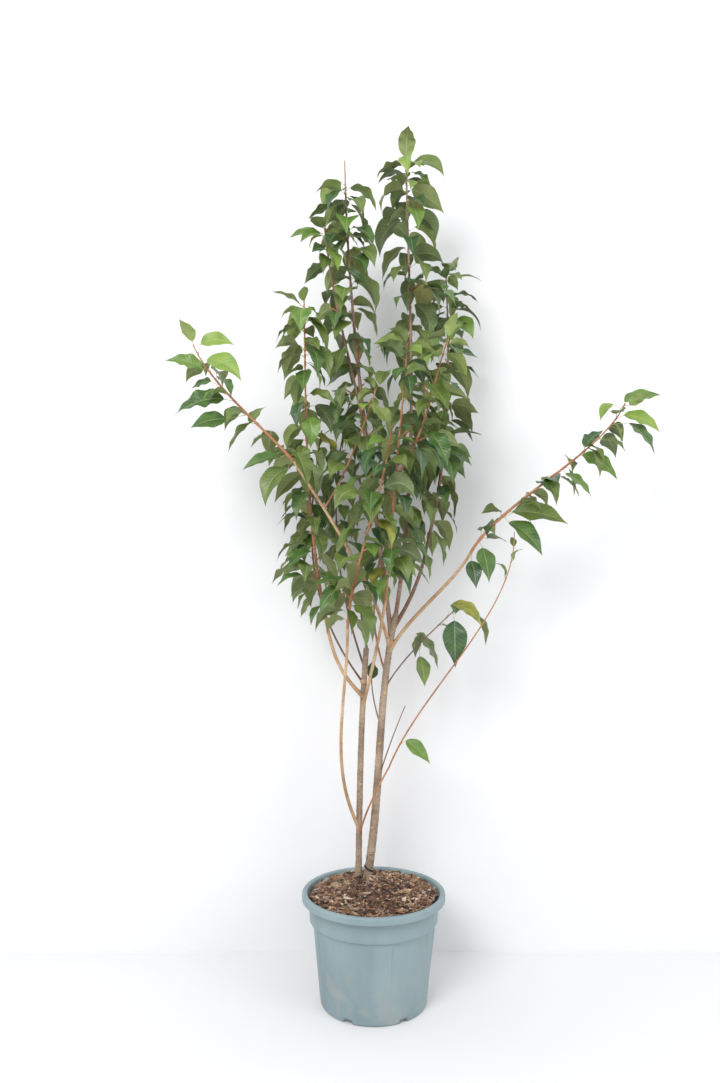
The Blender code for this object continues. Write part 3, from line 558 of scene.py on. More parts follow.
LIMBS = {
    "dead_stub": Stem("trunk_left", TIP, (-0.035, 0.060, 1.175), (0.0, 0.0), (-0.015, 0.0), 0.0040, 0.0015),
    "limb_outer_left": Stem(
        "trunk_left", 0.470, (-0.075, -0.080, 1.075), (-0.085, -0.015), (-0.010, -0.030), 0.0050, 0.0040
    ),
    "limb_inner_left": Stem(
        "trunk_left", 0.862, (-0.145, 0.030, 1.110), (-0.050, -0.005), (-0.020, 0.0), 0.0055, 0.0045
    ),
    "limb_middle": Stem(
        "trunk_left", 0.830, (0.035, -0.045, 1.155), (0.005, -0.010), (0.005, 0.0), 0.0050, 0.0045
    ),
    "limb_upright": Stem(
        "trunk_right", 1.065, (0.165, 0.105, 1.310), (0.020, 0.005), (0.020, 0.0), 0.0060, 0.0053
    ),
    "bough_left": Stem(
        "trunk_right", 1.010, (-0.230, -0.080, 1.555), (0.050, -0.085), (0.025, -0.010), 0.0055, 0.0040
    ),
    "bough_right": Stem(
        "trunk_right", 0.980, (0.290, 0.010, 1.295), (-0.050, 0.005), (0.025, 0.0), 0.0055, 0.0045
    ),
    "shoot_low_right": Stem(
        "trunk_left", 0.440, (0.046, 0.020, 0.661), (-0.017, -0.012), (-0.011, -0.009), 0.0028, 0.0025
    ),
    "twig_bare": Stem(
        "trunk_right", 0.605, (0.095, 0.030, 0.840), (-0.005, 0.0), (-0.005, 0.0), 0.0020, 0.0013
    ),
}

LEAFY_STEMS = {
    "leaves_centre": Stem(
        "trunk_right", 1.043, (-0.085, -0.020, 2.470), (-0.010, 0.070), (-0.040, 0.010), 0.0075, 0.0018
    ),
    "leaves_leader": Stem(
        "trunk_right", TIP, (0.100, 0.020, 2.500), (0.065, 0.010), (0.020, 0.005), 0.0065, 0.0018
    ),
    "leaves_inner_left": Stem(
        "limb_inner_left", TIP, (-0.205, -0.030, 2.045), (-0.040, 0.0), (-0.015, 0.0), 0.0045, 0.0016
    ),
    "leaves_outer_left": Stem(
        "limb_outer_left", TIP, (0.050, -0.140, 1.650), (-0.030, 0.0), (0.025, 0.0), 0.0040, 0.0018
    ),
    "leaves_middle": Stem(
        "limb_middle", TIP, (0.100, -0.060, 1.910), (-0.005, -0.030), (0.000, -0.015), 0.0045, 0.0016
    ),
    "leaves_upright": Stem(
        "limb_upright", TIP, (0.230, 0.120, 2.190), (0.055, 0.0), (0.035, 0.0), 0.0053, 0.0016
    ),
    "leaves_bough_left": Stem(
        "bough_left", TIP, (-0.515, -0.120, 1.885), (-0.005, 0.0), (-0.050, -0.005), 0.0040, 0.0016
    ),
    "leaves_bough_right": Stem(
        "bough_right", TIP, (0.735, -0.050, 1.730), (-0.070, 0.005), (0.090, -0.005), 0.0045, 0.0016
    ),
    "leaves_red_shoot": Stem(
        "bough_left", 1.420, (0.010, -0.070, 1.775), (0.025, -0.015), (0.010, 0.0), 0.0026, 0.0016
    ),
    "leaves_low_right": Stem(
        "shoot_low_right", TIP, (0.410, -0.040, 1.355), (-0.029, 0.002), (0.135, -0.005), 0.0025, 0.0014
    ),
    "leaves_low_twig": Stem(
        "trunk_right", 0.880, (0.265, 0.020, 1.145), (-0.035, 0.0), (-0.015, 0.005), 0.0022, 0.0015
    ),
    "leaves_inner_twig": Stem(
        "trunk_right", 0.770, (-0.005, 0.105, 0.935), (-0.010, 0.0), (-0.010, 0.0), 0.0020, 0.0015
    ),
    "leaves_back_left": Stem(
        "trunk_left", 0.900, (-0.160, 0.170, 1.690), (-0.165, 0.040), (-0.085, 0.005), 0.0030, 0.0016
    ),
    "leaves_back_middle": Stem(
        "trunk_left", 0.945, (-0.070, 0.180, 1.790), (-0.090, 0.065), (-0.085, 0.010), 0.0030, 0.0016
    ),
    "leaves_back_right": Stem(
        "trunk_right", 0.930, (0.170, 0.200, 1.855), (-0.165, 0.070), (0.025, 0.015), 0.0030, 0.0016
    ),
}

# Second stems that fork off a leafy stem and belong to its mass
FORKS = {
    "fork_short_left": Stem(
        "leaves_centre", 1.490, (-0.145, -0.030, 2.275), (0.030, 0.010), (-0.030, 0.025), 0.0048, 0.0018
    ),
    "fork_middle_right": Stem(
        "leaves_middle", 1.510, (0.210, -0.150, 1.895), (0.045, 0.0), (0.0, 0.0), 0.0033, 0.0016
    ),
}
STEMS = {**TRUNKS, **LIMBS, **LEAFY_STEMS, **FORKS}
print(len(TRUNKS), "trunks,", len(LIMBS), "limbs and", len(LEAFY_STEMS) + len(FORKS), "leafy shoots")

# %% [markdown]
# ## Curves and tubes
#
# A branch is round and tapers faster near its tip. A curve object with a bevel would do for that, but the
# bark needs a radius of its own at each ring, so a function lays rings along the curve and joins them to
# a tube. The cross-section turns as little as it can from ring to ring, so the tube never twists.
# %% Stem curves


def curve_point(ends, t):
    a, b, c, d = ends
    s = 1.0 - t
    return a * s**3 + b * (3 * s * s * t) + c * (3 * s * t * t) + d * t**3


def curve_direction(ends, t):
    a, b, c, d = ends
    s = 1.0 - t
    return ((b - a) * (s * s) + (c - b) * (2 * s * t) + (d - c) * (t * t)).normalized()


def curve_length(ends, steps=40):
    places = [curve_point(ends, i / steps) for i in range(steps + 1)]
    return sum((after - before).length for before, after in zip(places, places[1:]))


def curve_at_height(ends, height):
    low, high = 0.0, 1.0
    for _ in range(40):
        middle = (low + high) / 2
        if curve_point(ends, middle).z < height:
            low = middle
        else:
            high = middle
    return curve_point(ends, low)


def stem_ends(name):
    """The four control points of a stem's curve."""
    stem = STEMS[name]
    if stem.parent is None:
        foot = Vector(stem.foot)
    elif stem.foot == TIP:
        parent = stem_ends(stem.parent)
        foot = parent[3] + curve_direction(parent, 1.0) * GAP
    else:
        foot = curve_at_height(stem_ends(stem.parent), stem.foot)
    tip = Vector(stem.tip)
    span = (tip - foot) / 3
    low = foot + span + Vector((*stem.low_sway, 0.0))
    high = foot + 2 * span + Vector((*stem.high_sway, 0.0))
    return foot, low, high, tip


def stem_radius(name, t):
    stem = STEMS[name]
    radius = stem.foot_radius + (stem.tip_radius - stem.foot_radius) * t**TAPER_POWER
    if name in TRUNKS:
        height = curve_point(stem_ends(name), t).z - GROUND
        radius += FLARE * math.exp(-height / FLARE_HEIGHT)
    return radius


def stem_rings(name, swell=0.0):
    """Centres, directions and radii of the rings that a stem's tube is made of."""
    ends = stem_ends(name)
    stem = STEMS[name]
    count = max(4, round(curve_length(ends, 20) / RING_SPACING))
    steps = [i / count for i in range(count + 1)]
    if name in TRUNKS:
        steps = [0.0, 0.015, 0.04] + steps[1:]
    rings = [[curve_point(ends, t), curve_direction(ends, t), stem_radius(name, t) + swell] for t in steps]
    if stem.parent is None:
        rings[0][1] = UP.copy()
    elif stem.foot == TIP:
        rings[0][1] = curve_direction(stem_ends(stem.parent), 1.0)
    return rings


def tube_mesh(rings, sides):
    """A closed tube through the rings, whose cross-section turns as little as it can."""
    vertices = []
    faces = []
    across = rings[0][1].orthogonal().normalized()
    last = rings[0][1]
    for centre, direction, radius in rings:
        across = last.rotation_difference(direction) @ across
        across = (across - direction * across.dot(direction)).normalized()
        last = direction
        other = direction.cross(across)
        for side in range(sides):
            angle = math.tau * side / sides
            vertices.append(centre + (across * math.cos(angle) + other * math.sin(angle)) * radius)
    for ring in range(len(rings) - 1):
        for side in range(sides):
            here = ring * sides + side
            beside = ring * sides + (side + 1) % sides
            faces.append((here, beside, beside + sides, here + sides))
    faces.append(tuple(range(sides - 1, -1, -1)))
    faces.append(tuple(range(len(vertices) - sides, len(vertices))))
    return vertices, faces


print("leader", round(curve_length(stem_ends("leaves_leader")), 2), "m long")

# %% [markdown]
# ## Where leaves grow
#
# A cherry carries one leaf at a time up its shoot, each turned by about 137.5 degrees from the last, and
# short spurs with a few leaves each on older wood. Scattering leaves with particles would ignore that, so
# a table says how each shoot is clothed, and a seeded rule does the rest.
#
# Leaves sit on a stem between the fractions first and last of it, one every gap. length is a full blade,
# droop the angle it hangs at, spurs the number of short side twigs with three leaves each, and tuft the
# number of leaves that stand round the growing tip.
# %% Leaf table
Foliage = namedtuple("Foliage", "mass first last gap length droop spurs tuft seed")

FOLIAGE = {
    "leaves_centre": Foliage("leaves_centre", 0.12, 0.93, 0.031, 0.120, 38, 6, 0, 11),
    "fork_short_left": Foliage("leaves_centre", 0.12, 0.97, 0.027, 0.120, 36, 4, 3, 12),
    "leaves_leader": Foliage("leaves_leader", 0.08, 0.97, 0.028, 0.135, 42, 7, 5, 13),
    "leaves_inner_left": Foliage("leaves_inner_left", 0.02, 0.97, 0.026, 0.120, 40, 4, 3, 14),
    "leaves_outer_left": Foliage("leaves_outer_left", 0.03, 0.97, 0.025, 0.125, 42, 3, 3, 15),
    "leaves_middle": Foliage("leaves_middle", 0.04, 0.97, 0.027, 0.125, 38, 3, 3, 16),
    "fork_middle_right": Foliage("leaves_middle", 0.10, 0.97, 0.026, 0.125, 34, 2, 3, 17),
    "leaves_upright": Foliage("leaves_upright", 0.05, 0.97, 0.028, 0.120, 40, 4, 3, 18),
    "leaves_bough_left": Foliage("leaves_bough_left", 0.10, 0.90, 0.050, 0.110, 40, 0, 1, 19),
    "leaves_bough_right": Foliage("leaves_bough_right", 0.10, 0.95, 0.050, 0.110, 34, 0, 1, 20),
    "leaves_red_shoot": Foliage("leaves_red_shoot", 0.30, 0.97, 0.025, 0.115, 36, 0, 2, 21),
    "leaves_low_right": Foliage("leaves_low_right", 0.80, 0.96, 0.050, 0.050, -60, 0, 0, 22),
    "leaves_low_twig": Foliage("leaves_low_twig", 0.60, 0.96, 0.060, 0.110, 60, 0, 0, 23),
    "leaves_inner_twig": Foliage("leaves_inner_twig", 0.80, 0.97, 0.060, 0.085, -60, 0, 0, 24),
    "leaves_back_left": Foliage("leaves_back_left", 0.34, 0.97, 0.027, 0.120, 40, 2, 3, 25),
    "leaves_back_middle": Foliage("leaves_back_middle", 0.32, 0.97, 0.027, 0.120, 40, 2, 3, 26),
    "leaves_back_right": Foliage("leaves_back_right", 0.32, 0.97, 0.027, 0.120, 40, 2, 3, 27),
}

# %% [markdown]
# ## Leaves with a place of their own
#
# The side boughs and low twigs are so open that each leaf on them is seen by itself. The rule would put
# other leaves there, so these 28 are placed one by one. A row says how far along the stem a leaf sits,
# then the heading, rise and length of its stalk, the heading, rise and length of its blade, the blade's
# arch and its roll.
# %% Placed leaves
Placed = namedtuple("Placed", "place stalk_heading stalk_rise stalk heading rise length arch roll")

PLACED = {
    "leaves_bough_left": [
        Placed(0.79, 202, -13, 0.015, 188, 11, 0.110, 25, -60),
        Placed(0.91, 318, 68, 0.030, 348, -5, 0.106, 30, 70),
        Placed(0.74, 227, 67, 0.043, 341, -33, 0.136, 30, 55),
        Placed(0.64, 163, 26, 0.037, 155, -13, 0.072, 20, -50),
        Placed(0.51, 194, 11, 0.032, 189, -21, 0.155, 25, -55),
        Placed(0.40, 194, -13, 0.064, 206, -19, 0.110, 15, -60),
        Placed(0.32, 160, 9, 0.023, 25, 46, 0.078, 20, 40),
        Placed(0.06, 199, -25, 0.022, 188, -20, 0.118, 20, -35),
        Placed(0.02, 237, -60, 0.032, 210, -59, 0.144, 40, -30),
        Placed(0.04, 321, 19, 0.030, 304, -60, 0.126, 15, 0),
    ],
    "leaves_bough_right": [
        Placed(0.02, 250, -59, 0.040, 284, -65, 0.093, 20, 10),
        Placed(0.08, 300, -49, 0.029, 284, -66, 0.115, 15, 0),
        Placed(0.22, 347, 26, 0.050, 349, -14, 0.168, 20, 50),
        Placed(0.25, 320, -47, 0.028, 338, -46, 0.143, 20, 35),
        Placed(0.52, 202, -10, 0.041, 306, -59, 0.107, 30, 10),
        Placed(0.57, 289, -57, 0.020, 343, -46, 0.109, 20, 30),
        Placed(0.64, 312, 17, 0.018, 343, -38, 0.130, 25, 40),
        Placed(0.68, 60, 50, 0.018, 18, 38, 0.093, 20, 40),
        Placed(0.89, 342, 26, 0.027, 348, -29, 0.119, 30, 45),
        Placed(0.86, 345, 2, 0.049, 330, -56, 0.131, 20, 25),
        Placed(0.98, 45, 57, 0.015, 7, 12, 0.118, 20, 35),
        Placed(0.96, 191, 26, 0.029, 198, -49, 0.074, 40, -30),
    ],
    "leaves_low_twig": [
        Placed(0.90, 297, -72, 0.027, 269, -81, 0.141, 10, 0),
        Placed(0.98, 10, -29, 0.051, 32, -68, 0.111, 25, 20),
        Placed(0.84, 329, 69, 0.041, 346, -37, 0.117, 35, 30),
        Placed(0.53, 280, -78, 0.036, 300, -74, 0.093, 15, 0),
        Placed(0.47, 48, 78, 0.048, 18, -58, 0.137, 25, 35),
    ],
    "leaves_low_right": [
        Placed(0.10, 335, 33, 0.021, 343, -41, 0.099, 10, 50),
    ],
}
DIVERGENCE = math.radians(137.5)
STALK_SHARE = (0.14, 0.22)  # of the blade's length
PLACED_WIDTH = 0.52  # of the blade's length
WIDEST = 0.42  # how far along the blade it is widest
ROOT_RADIUS = 0.0013
YOUNG_LENGTH = 0.16  # stretch at a stem's tip where the leaves are still small
CLEARANCE = 0.003  # kept between a new leaf and all that grew before it
TRIES = 10
TUFT_PLACE = 0.985
TUFT_STEP = 0.006
TUFT_DROOP = (-25, -10, 5, 15, 30)  # the topmost leaves stand up, the next ones spread
LEAF_ROOT = 0.012  # the length at a leaf's root that may be near its own stem
PLACED_ROOT = 0.026
print(sum(len(rows) for rows in PLACED.values()), "placed leaves")

# %% [markdown]
# ## The shape and the room of a leaf
#
# A leaf hangs from a stalk that leaves the stem at a slant. The blade arches up to its widest place and
# down to its tip, and rolls a little to one side. Each leaf tries a few seeded poses and takes the first
# that has room, which means that it hits no stem and no other leaf and is nearest to its own shoot. A BVH
# tree of each leaf's simple solid answers that in a moment, where a simulation would take minutes.
# %% Leaf shape
Leaf = namedtuple("Leaf", "root knee middle tip side width")


def aim(heading, pitch):
    return heading * math.cos(pitch) + UP * math.sin(pitch)


def lay_blade(root, knee, heading, rise, arch, roll, length, share):
    """A blade from its knee, up over its widest place and down to its tip."""
    middle = knee + aim(heading, rise + arch * (1 - WIDEST)) * length * WIDEST
    tip = middle + aim(heading, rise - arch * WIDEST) * length * (1 - WIDEST)
    side = heading.cross(UP).normalized()
    side.rotate(Quaternion((tip - knee).normalized(), roll))
    return Leaf(root, knee, middle, tip, side, length * share)


def shape_leaf(rng, root, along, outward, length, droop):
    """One leaf: a stalk from root to knee, then a blade that hangs away from the stem."""
    lean = math.radians(rng.uniform(38, 68))
    start = (outward * math.sin(lean) + along * math.cos(lean)).normalized()
    knee = root + start * length * rng.uniform(*STALK_SHARE)
    heading = Vector((start.x, start.y, 0.0))
    if heading.length < 0.15:
        heading = Vector((along.y, -along.x, 0.0))
    heading.normalize()
    heading.rotate(Matrix.Rotation(math.radians(rng.gauss(0, 14)), 3, "Z"))
    rise = math.radians(max(-80.0, rng.gauss(-droop, 17)))
    arch = math.radians(rng.uniform(12, 60))
    roll = math.radians(rng.gauss(0, 26))
    return lay_blade(root, knee, heading, rise, arch, roll, length, rng.uniform(0.46, 0.56))


def compass(heading, rise):
    """The direction of a heading and a rise given in degrees."""
    turn = math.radians(heading)
    return aim(Vector((math.cos(turn), math.sin(turn), 0.0)), math.radians(rise))


def placed_leaf(given, root):
    knee = root + compass(given.stalk_heading, given.stalk_rise) * given.stalk
    heading = compass(given.heading, 0)
    rise, arch, roll = (math.radians(angle) for angle in (given.rise, given.arch, given.roll))
    return lay_blade(root, knee, heading, rise, arch, roll, given.length, PLACED_WIDTH)


def leaf_solid(leaf, root_radius, thickness, widen=1.0, start=0.0):
    """A closed blade of ten faces: a small root section, a wide flat one and the tip."""
    first = leaf.root.lerp(leaf.middle, start)
    reach = (leaf.middle - first).normalized()
    normal = leaf.side.cross(leaf.tip - leaf.root).normalized()
    below = normal if normal.z < 0 else -normal
    across = leaf.side * root_radius
    half = leaf.side * (leaf.width * widen / 2)
    root_below = (below - reach * below.dot(reach)).normalized() * root_radius
    vertices = [
        first - across - root_below * 0.5,
        first + across - root_below * 0.5,
        first + root_below,
        leaf.middle - half - below * thickness * 0.5,
        leaf.middle + half - below * thickness * 0.5,
        leaf.middle + below * thickness * 0.5,
        leaf.tip,
    ]
    faces = [(0, 1, 2), (0, 3, 4), (0, 4, 1), (1, 4, 5), (1, 5, 2), (2, 5, 3), (2, 3, 0)]
    return vertices, faces + [(3, 6, 4), (4, 6, 5), (5, 6, 3)]


# %% Room in the crown
GUARD_STEPS = 60
GUARD_WIDEN = 1.06


class Crown:
    """What has grown so far: the stems, and a guard round each leaf that the next ones keep out of."""

    def __init__(self):
        self.stems = []
        for name in STEMS:
            vertices, faces = tube_mesh(stem_rings(name, CLEARANCE / 2), 6)
            self.stems.append(BVHTree.FromPolygons(vertices, faces))
        self.guards = []
        self.clearance = CLEARANCE
        self.nearest = KDTree(GUARD_STEPS * len(FOLIAGE))
        self.owners = []
        for name, growth in FOLIAGE.items():
            ends = stem_ends(name)
            for step in range(GUARD_STEPS):
                self.nearest.insert(curve_point(ends, step / (GUARD_STEPS - 1)), len(self.owners))
                self.owners.append(growth.mass)
        self.nearest.balance()
        self.placed = {name: [] for name in FOLIAGE}
        for stem, rows in PLACED.items():
            for given in rows:
                leaf = placed_leaf(given, curve_point(stem_ends(stem), given.place))
                if self.has_room(leaf, PLACED_ROOT):
                    self.placed[stem].append((leaf, stem_radius(stem, given.place)))

    def owner(self, place):
        return self.owners[self.nearest.find(place)[1]]

    def accepts(self, leaf, mass):
        inside = self.owner(leaf.middle) == mass and self.owner(leaf.tip) == mass
        return inside and self.has_room(leaf, LEAF_ROOT)

    def has_room(self, leaf, root_length):
        """Whether the leaf, beyond its root, keeps clear of all else; if it does, it's kept clear of too."""
        start = min(0.7, root_length / (leaf.middle - leaf.root).length)
        guard = leaf_solid(leaf, ROOT_RADIUS * 2, self.clearance * 2, GUARD_WIDEN, start)
        tree = BVHTree.FromPolygons(*guard)
        if any(tree.overlap(stem) for stem in self.stems):
            return False
        size = (leaf.tip - leaf.root).length
        for centre, radius, other in self.guards:
            if (centre - leaf.middle).length < radius + size and tree.overlap(other):
                return False
        self.guards.append((leaf.middle, size, tree))
        return True

    def add_twig(self, rings):
        self.stems.append(BVHTree.FromPolygons(*tube_mesh(rings, 3)))


# %% [markdown]
# ## Growing a shoot
#
# A spur is a short side twig with three leaves. Along the shoot itself the leaves get smaller towards the
# tip, where they are young and stand out more, and a tuft of them closes it.
# %% Growing rule
SPUR_LEAVES = (0.45, 0.7, 0.95)
SPUR_RADII = (0.0024, 0.0018)


def spoke(along, turn):
    """The direction out of a stem at a turn round it."""
    return Quaternion(along, turn) @ along.orthogonal().normalized()


def grow_leaf(crown, rng, mass, root, along, outward, length, droop):
    """The first of a few tries that has room, or None."""
    for _ in range(TRIES):
        leaf = shape_leaf(rng, root, along, outward, length, droop)
        if crown.accepts(leaf, mass):
            return leaf
    return None


def grow(crown, name, young_length=YOUNG_LENGTH):
    """The leaves and the short spurs of one leafy stem, as (leaf, stem radius) and (rings) lists."""
    growth = FOLIAGE[name]
    rng = random.Random(growth.seed)
    ends = stem_ends(name)
    length = curve_length(ends)
    leaves = list(crown.placed[name])
    spurs = []
    turn = rng.uniform(0, math.tau)
    for number in range(growth.spurs):
        place = growth.first + (growth.last - growth.first) * 0.75 * (number + 0.5) / growth.spurs
        along = curve_direction(ends, place)
        root = curve_point(ends, place)
        turn += DIVERGENCE
        outward = spoke(along, turn)
        direction = (outward * 0.8 + UP * 0.6).normalized()
        reach = rng.uniform(0.035, 0.06)
        end = root + direction * reach
        rings = [(root, direction, SPUR_RADII[0]), (end, direction, SPUR_RADII[1])]
        guard = BVHTree.FromPolygons(*tube_mesh([(root + direction * 0.013, direction, 0.005), rings[1]], 3))
        blocked = any(guard.overlap(other) for other in crown.stems)
        blocked = blocked or any(guard.overlap(other) for _, _, other in crown.guards)
        if blocked or crown.owner(end) != growth.mass:
            continue
        spurs.append(rings)
        for share in SPUR_LEAVES:
            turn += DIVERGENCE
            spread = spoke(direction, turn)
            blade = growth.length * rng.uniform(0.75, 1.05)
            knot = root.lerp(end, share)
            leaf = grow_leaf(crown, rng, growth.mass, knot, direction, spread, blade, growth.droop)
            if leaf:
                leaves.append((leaf, 0.0017))
        crown.add_twig(rings)
    distance = growth.first * length
    while distance < growth.last * length:
        place = distance / length
        along = curve_direction(ends, place)
        turn += DIVERGENCE + rng.gauss(0, 0.15)
        outward = spoke(along, turn)
        young = min(1.0, 0.65 + 0.35 * (length - distance) / young_length)
        blade = growth.length * rng.uniform(0.8, 1.15) * young
        droop = growth.droop * (2 * young - 1)
        root = curve_point(ends, place)
        leaf = grow_leaf(crown, rng, growth.mass, root, along, outward, blade, droop)
        if leaf:
            leaves.append((leaf, stem_radius(name, place)))
        distance += growth.gap * rng.uniform(0.8, 1.2)
    for number in range(growth.tuft):
        place = TUFT_PLACE - TUFT_STEP * number
        along = curve_direction(ends, place)
        turn += DIVERGENCE
        outward = spoke(along, turn)
        root = curve_point(ends, place)
        blade = growth.length * rng.uniform(0.6, 0.85)
        leaf = grow_leaf(crown, rng, growth.mass, root, along, outward, blade, TUFT_DROOP[number])
        if leaf:
            leaves.append((leaf, stem_radius(name, place)))
    return leaves, spurs


# %% [markdown]
# ## Grow the crown
#
# The real crown is fuller than the CAD's, which has to stay light. The first pass repeats the CAD's
# leaves. The second adds smaller ones in the room that is left, on the same stems, so the crown gets as
# full as the real one and keeps its outline. The third crowds the tops, where full-sized leaves hang
# close together.
# %% Grow
CLOSE = 0.0012
EXTRA_GAP = 1.25
EXTRA_LENGTH = 0.82
SPARSE = ("leaves_low_right", "leaves_low_twig", "leaves_inner_twig")
TOP_YOUNG = 0.02
TOP_DROOP = 44
# For each crowded top: first, gap and length, as in the leaf table
TOPS = {
    "leaves_leader": (0.86, 0.013, 0.130),
    "fork_short_left": (0.78, 0.018, 0.120),
    "leaves_centre": (0.74, 0.018, 0.120),
    "leaves_inner_left": (0.82, 0.018, 0.115),
    "leaves_upright": (0.78, 0.018, 0.120),
    "leaves_middle": (0.72, 0.018, 0.120),
}

crown = Crown()
grown = []
for mass in LEAFY_STEMS:
    for name, growth in FOLIAGE.items():
        if growth.mass == mass:
            grown.append((name, *grow(crown, name)))
first_pass = sum(len(leaves) for _, leaves, _ in grown)
crown.clearance = CLOSE
crown.placed = {name: [] for name in FOLIAGE}
for name, row in list(FOLIAGE.items()):
    gap = row.gap * EXTRA_GAP
    length = row.length * EXTRA_LENGTH
    FOLIAGE[name] = row._replace(gap=gap, length=length, spurs=0, tuft=0, seed=row.seed + 100)
    if name not in SPARSE:
        grown.append((name, *grow(crown, name)))
for name, (first, gap, length) in TOPS.items():
    row = FOLIAGE[name]
    row = row._replace(first=first, last=row.last + 0.02, gap=gap, length=length, droop=TOP_DROOP)
    FOLIAGE[name] = row._replace(seed=row.seed + 100)
    grown.append((name, *grow(crown, name, TOP_YOUNG)))
print(first_pass, "leaves, then", sum(len(leaves) for _, leaves, _ in grown) - first_pass, "more")

# %% [markdown]
# ## Blades
#
# A cherry leaf is oval with a drawn-out tip and a toothed edge. Its halves fold up from the midrib, its
# edges wave and its tip curls. A flat card with a picture of a leaf would look thin from the side, so
# each blade is a strip of rows that bends along the leaf's own arch. Every second row is a little wider,
# which makes the teeth.
# %% Blades
ROWS = 38
COLUMNS = (-1.0, -0.72, -0.4, -0.12, 0.0, 0.12, 0.4, 0.72, 1.0)
TOOTH = 0.055


def half_width(t):
    return math.sin(math.pi * min(1.0, t) ** 0.70) * (1.0 - 0.72 * t**4)


def blade_points(leaf, rng):
    w = WIDEST
    bend = (leaf.middle - leaf.knee * (1 - w) ** 2 - leaf.tip * w * w) / (2 * w * (1 - w))
    fold = math.radians(rng.uniform(8, 34))
    waves = rng.uniform(2.0, 3.6)
    phase = rng.uniform(0, math.tau)
    ripple = rng.uniform(0.05, 0.17)
    curl = rng.gauss(0.0, 0.4)
    points = []
    corners = []
    for row in range(ROWS + 1):
        t = row / ROWS
        centre = leaf.knee * (1 - t) ** 2 + bend * (2 * t * (1 - t)) + leaf.tip * t * t
        tangent = ((bend - leaf.knee) * (1 - t) + (leaf.tip - bend) * t).normalized()
        side = (leaf.side - tangent * leaf.side.dot(tangent)).normalized()
        side.rotate(Quaternion(tangent, curl * t * t))
        normal = side.cross(tangent)
        half = leaf.width / 2 * half_width(t)
        for v in COLUMNS:
            reach = half * v
            if abs(v) == 1.0 and row % 2 and row < ROWS - 2:
                reach *= 1 + TOOTH
            lift = abs(reach) * math.sin(fold) * (1 - 0.35 * abs(v))
            late = 1.7 if v > 0 else 0.0
            lift += ripple * half * v * v * math.sin(math.tau * waves * t + phase + late)
            points.append(centre + side * (reach * math.cos(fold)) + normal * lift)
            corners.append((t, (v + 1) / 2))
    return points, corners


# %% [markdown]
# ## Tones
#
# On the real plant the leader's leaves are dark and the left side's are olive. Young leaves at the tops
# are light, and a few old ones turn yellow. A seeded draw deals one of the six tones to each leaf, with
# shares of its own for each shoot.
# %% Tones
DEEP, GREEN, OLIVE, LIGHT, YOUNG, YELLOW = range(6)
YOUNG_SHARE = 0.7
YELLOW_SHARE = 0.02
USUAL_DEEP_SHARE = 0.3
DEEP_SHARE = {
    "leaves_centre": 0.45,
    "fork_short_left": 0.30,
    "leaves_leader": 0.62,
    "leaves_upright": 0.45,
    "leaves_inner_left": 0.15,
    "leaves_back_right": 0.40,
    "leaves_bough_right": 0.30,
}


def tone_of(name, leaf, rng):
    """Young leaves stand near the tops of their shoots; a few old ones turn yellow."""
    top = curve_point(stem_ends(name), 1.0).z
    near_top = 0.0 if name in SPARSE else max(0.0, 1.0 - (top - leaf.root.z) / YOUNG_LENGTH)
    if rng.random() < YOUNG_SHARE * near_top:
        return YOUNG if rng.random() < 0.6 else LIGHT
    if rng.random() < YELLOW_SHARE:
        return YELLOW
    dark = DEEP_SHARE.get(name, USUAL_DEEP_SHARE)
    return rng.choices((DEEP, GREEN, OLIVE, LIGHT), (dark, 0.34, 0.9 - dark, 0.12))[0]


# %% [markdown]
# ## Leaves and stalks
#
# All leaves of one tone go into one mesh, because hundreds of separate objects would be slow to handle.
# Each stalk is a thin bent tube from the stem to its blade.
# %% Make the leaves
STALK_SIDES = 5
STALK_STEPS = 6
leaf_piles = [([], [], []) for _ in leaf_tones]
stalk_pile = ([], [])
leaf_rng = random.Random(77)


def add_tube(pile, rings, sides):
    vertices, faces = pile
    more, quads = tube_mesh(rings, sides)
    first = len(vertices)
    vertices.extend(more)
    faces.extend([[first + corner for corner in quad] for quad in quads])


def add_stalk(leaf):
    away = (leaf.knee - leaf.root).normalized()
    onward = (leaf.middle - leaf.knee).normalized()
    length = (leaf.knee - leaf.root).length
    pull = leaf.root + away * length * 0.6
    rings = []
    for step in range(STALK_STEPS + 1):
        t = step / STALK_STEPS
        centre = leaf.root * (1 - t) ** 2 + pull * (2 * t * (1 - t)) + leaf.knee * t * t
        direction = away.lerp(onward, t).normalized()
        rings.append((centre, direction, 0.0011 - 0.0004 * math.sin(math.pi * t)))
    add_tube(stalk_pile, rings, STALK_SIDES)


def add_blade(pile, leaf):
    vertices, faces, uvs = pile
    points, corners = blade_points(leaf, leaf_rng)
    first = len(vertices)
    wide = len(COLUMNS)
    vertices.extend(points)
    for row in range(ROWS):
        for column in range(wide - 1):
            here = row * wide + column
            quad = (here, here + 1, here + wide + 1, here + wide)
            faces.append([first + corner for corner in quad])
            for corner in quad:
                uvs.extend(corners[corner])


for name, leaves, _ in grown:
    for leaf, _ in leaves:
        add_blade(leaf_piles[tone_of(name, leaf, leaf_rng)], leaf)
        add_stalk(leaf)
for tone, (vertices, faces, uvs) in zip(leaf_tones, leaf_piles):
    if faces:
        piece = new_mesh(tone.name.replace(" ", "_"), vertices, faces, [tone], uvs)
        dress(piece, "leaf_and_shoot", *LEAF_MASSES)
stalks = new_mesh("leaf_stalks", *stalk_pile, [stalk_paint.material])
dress(stalks, "leaf_and_shoot", *LEAF_MASSES)

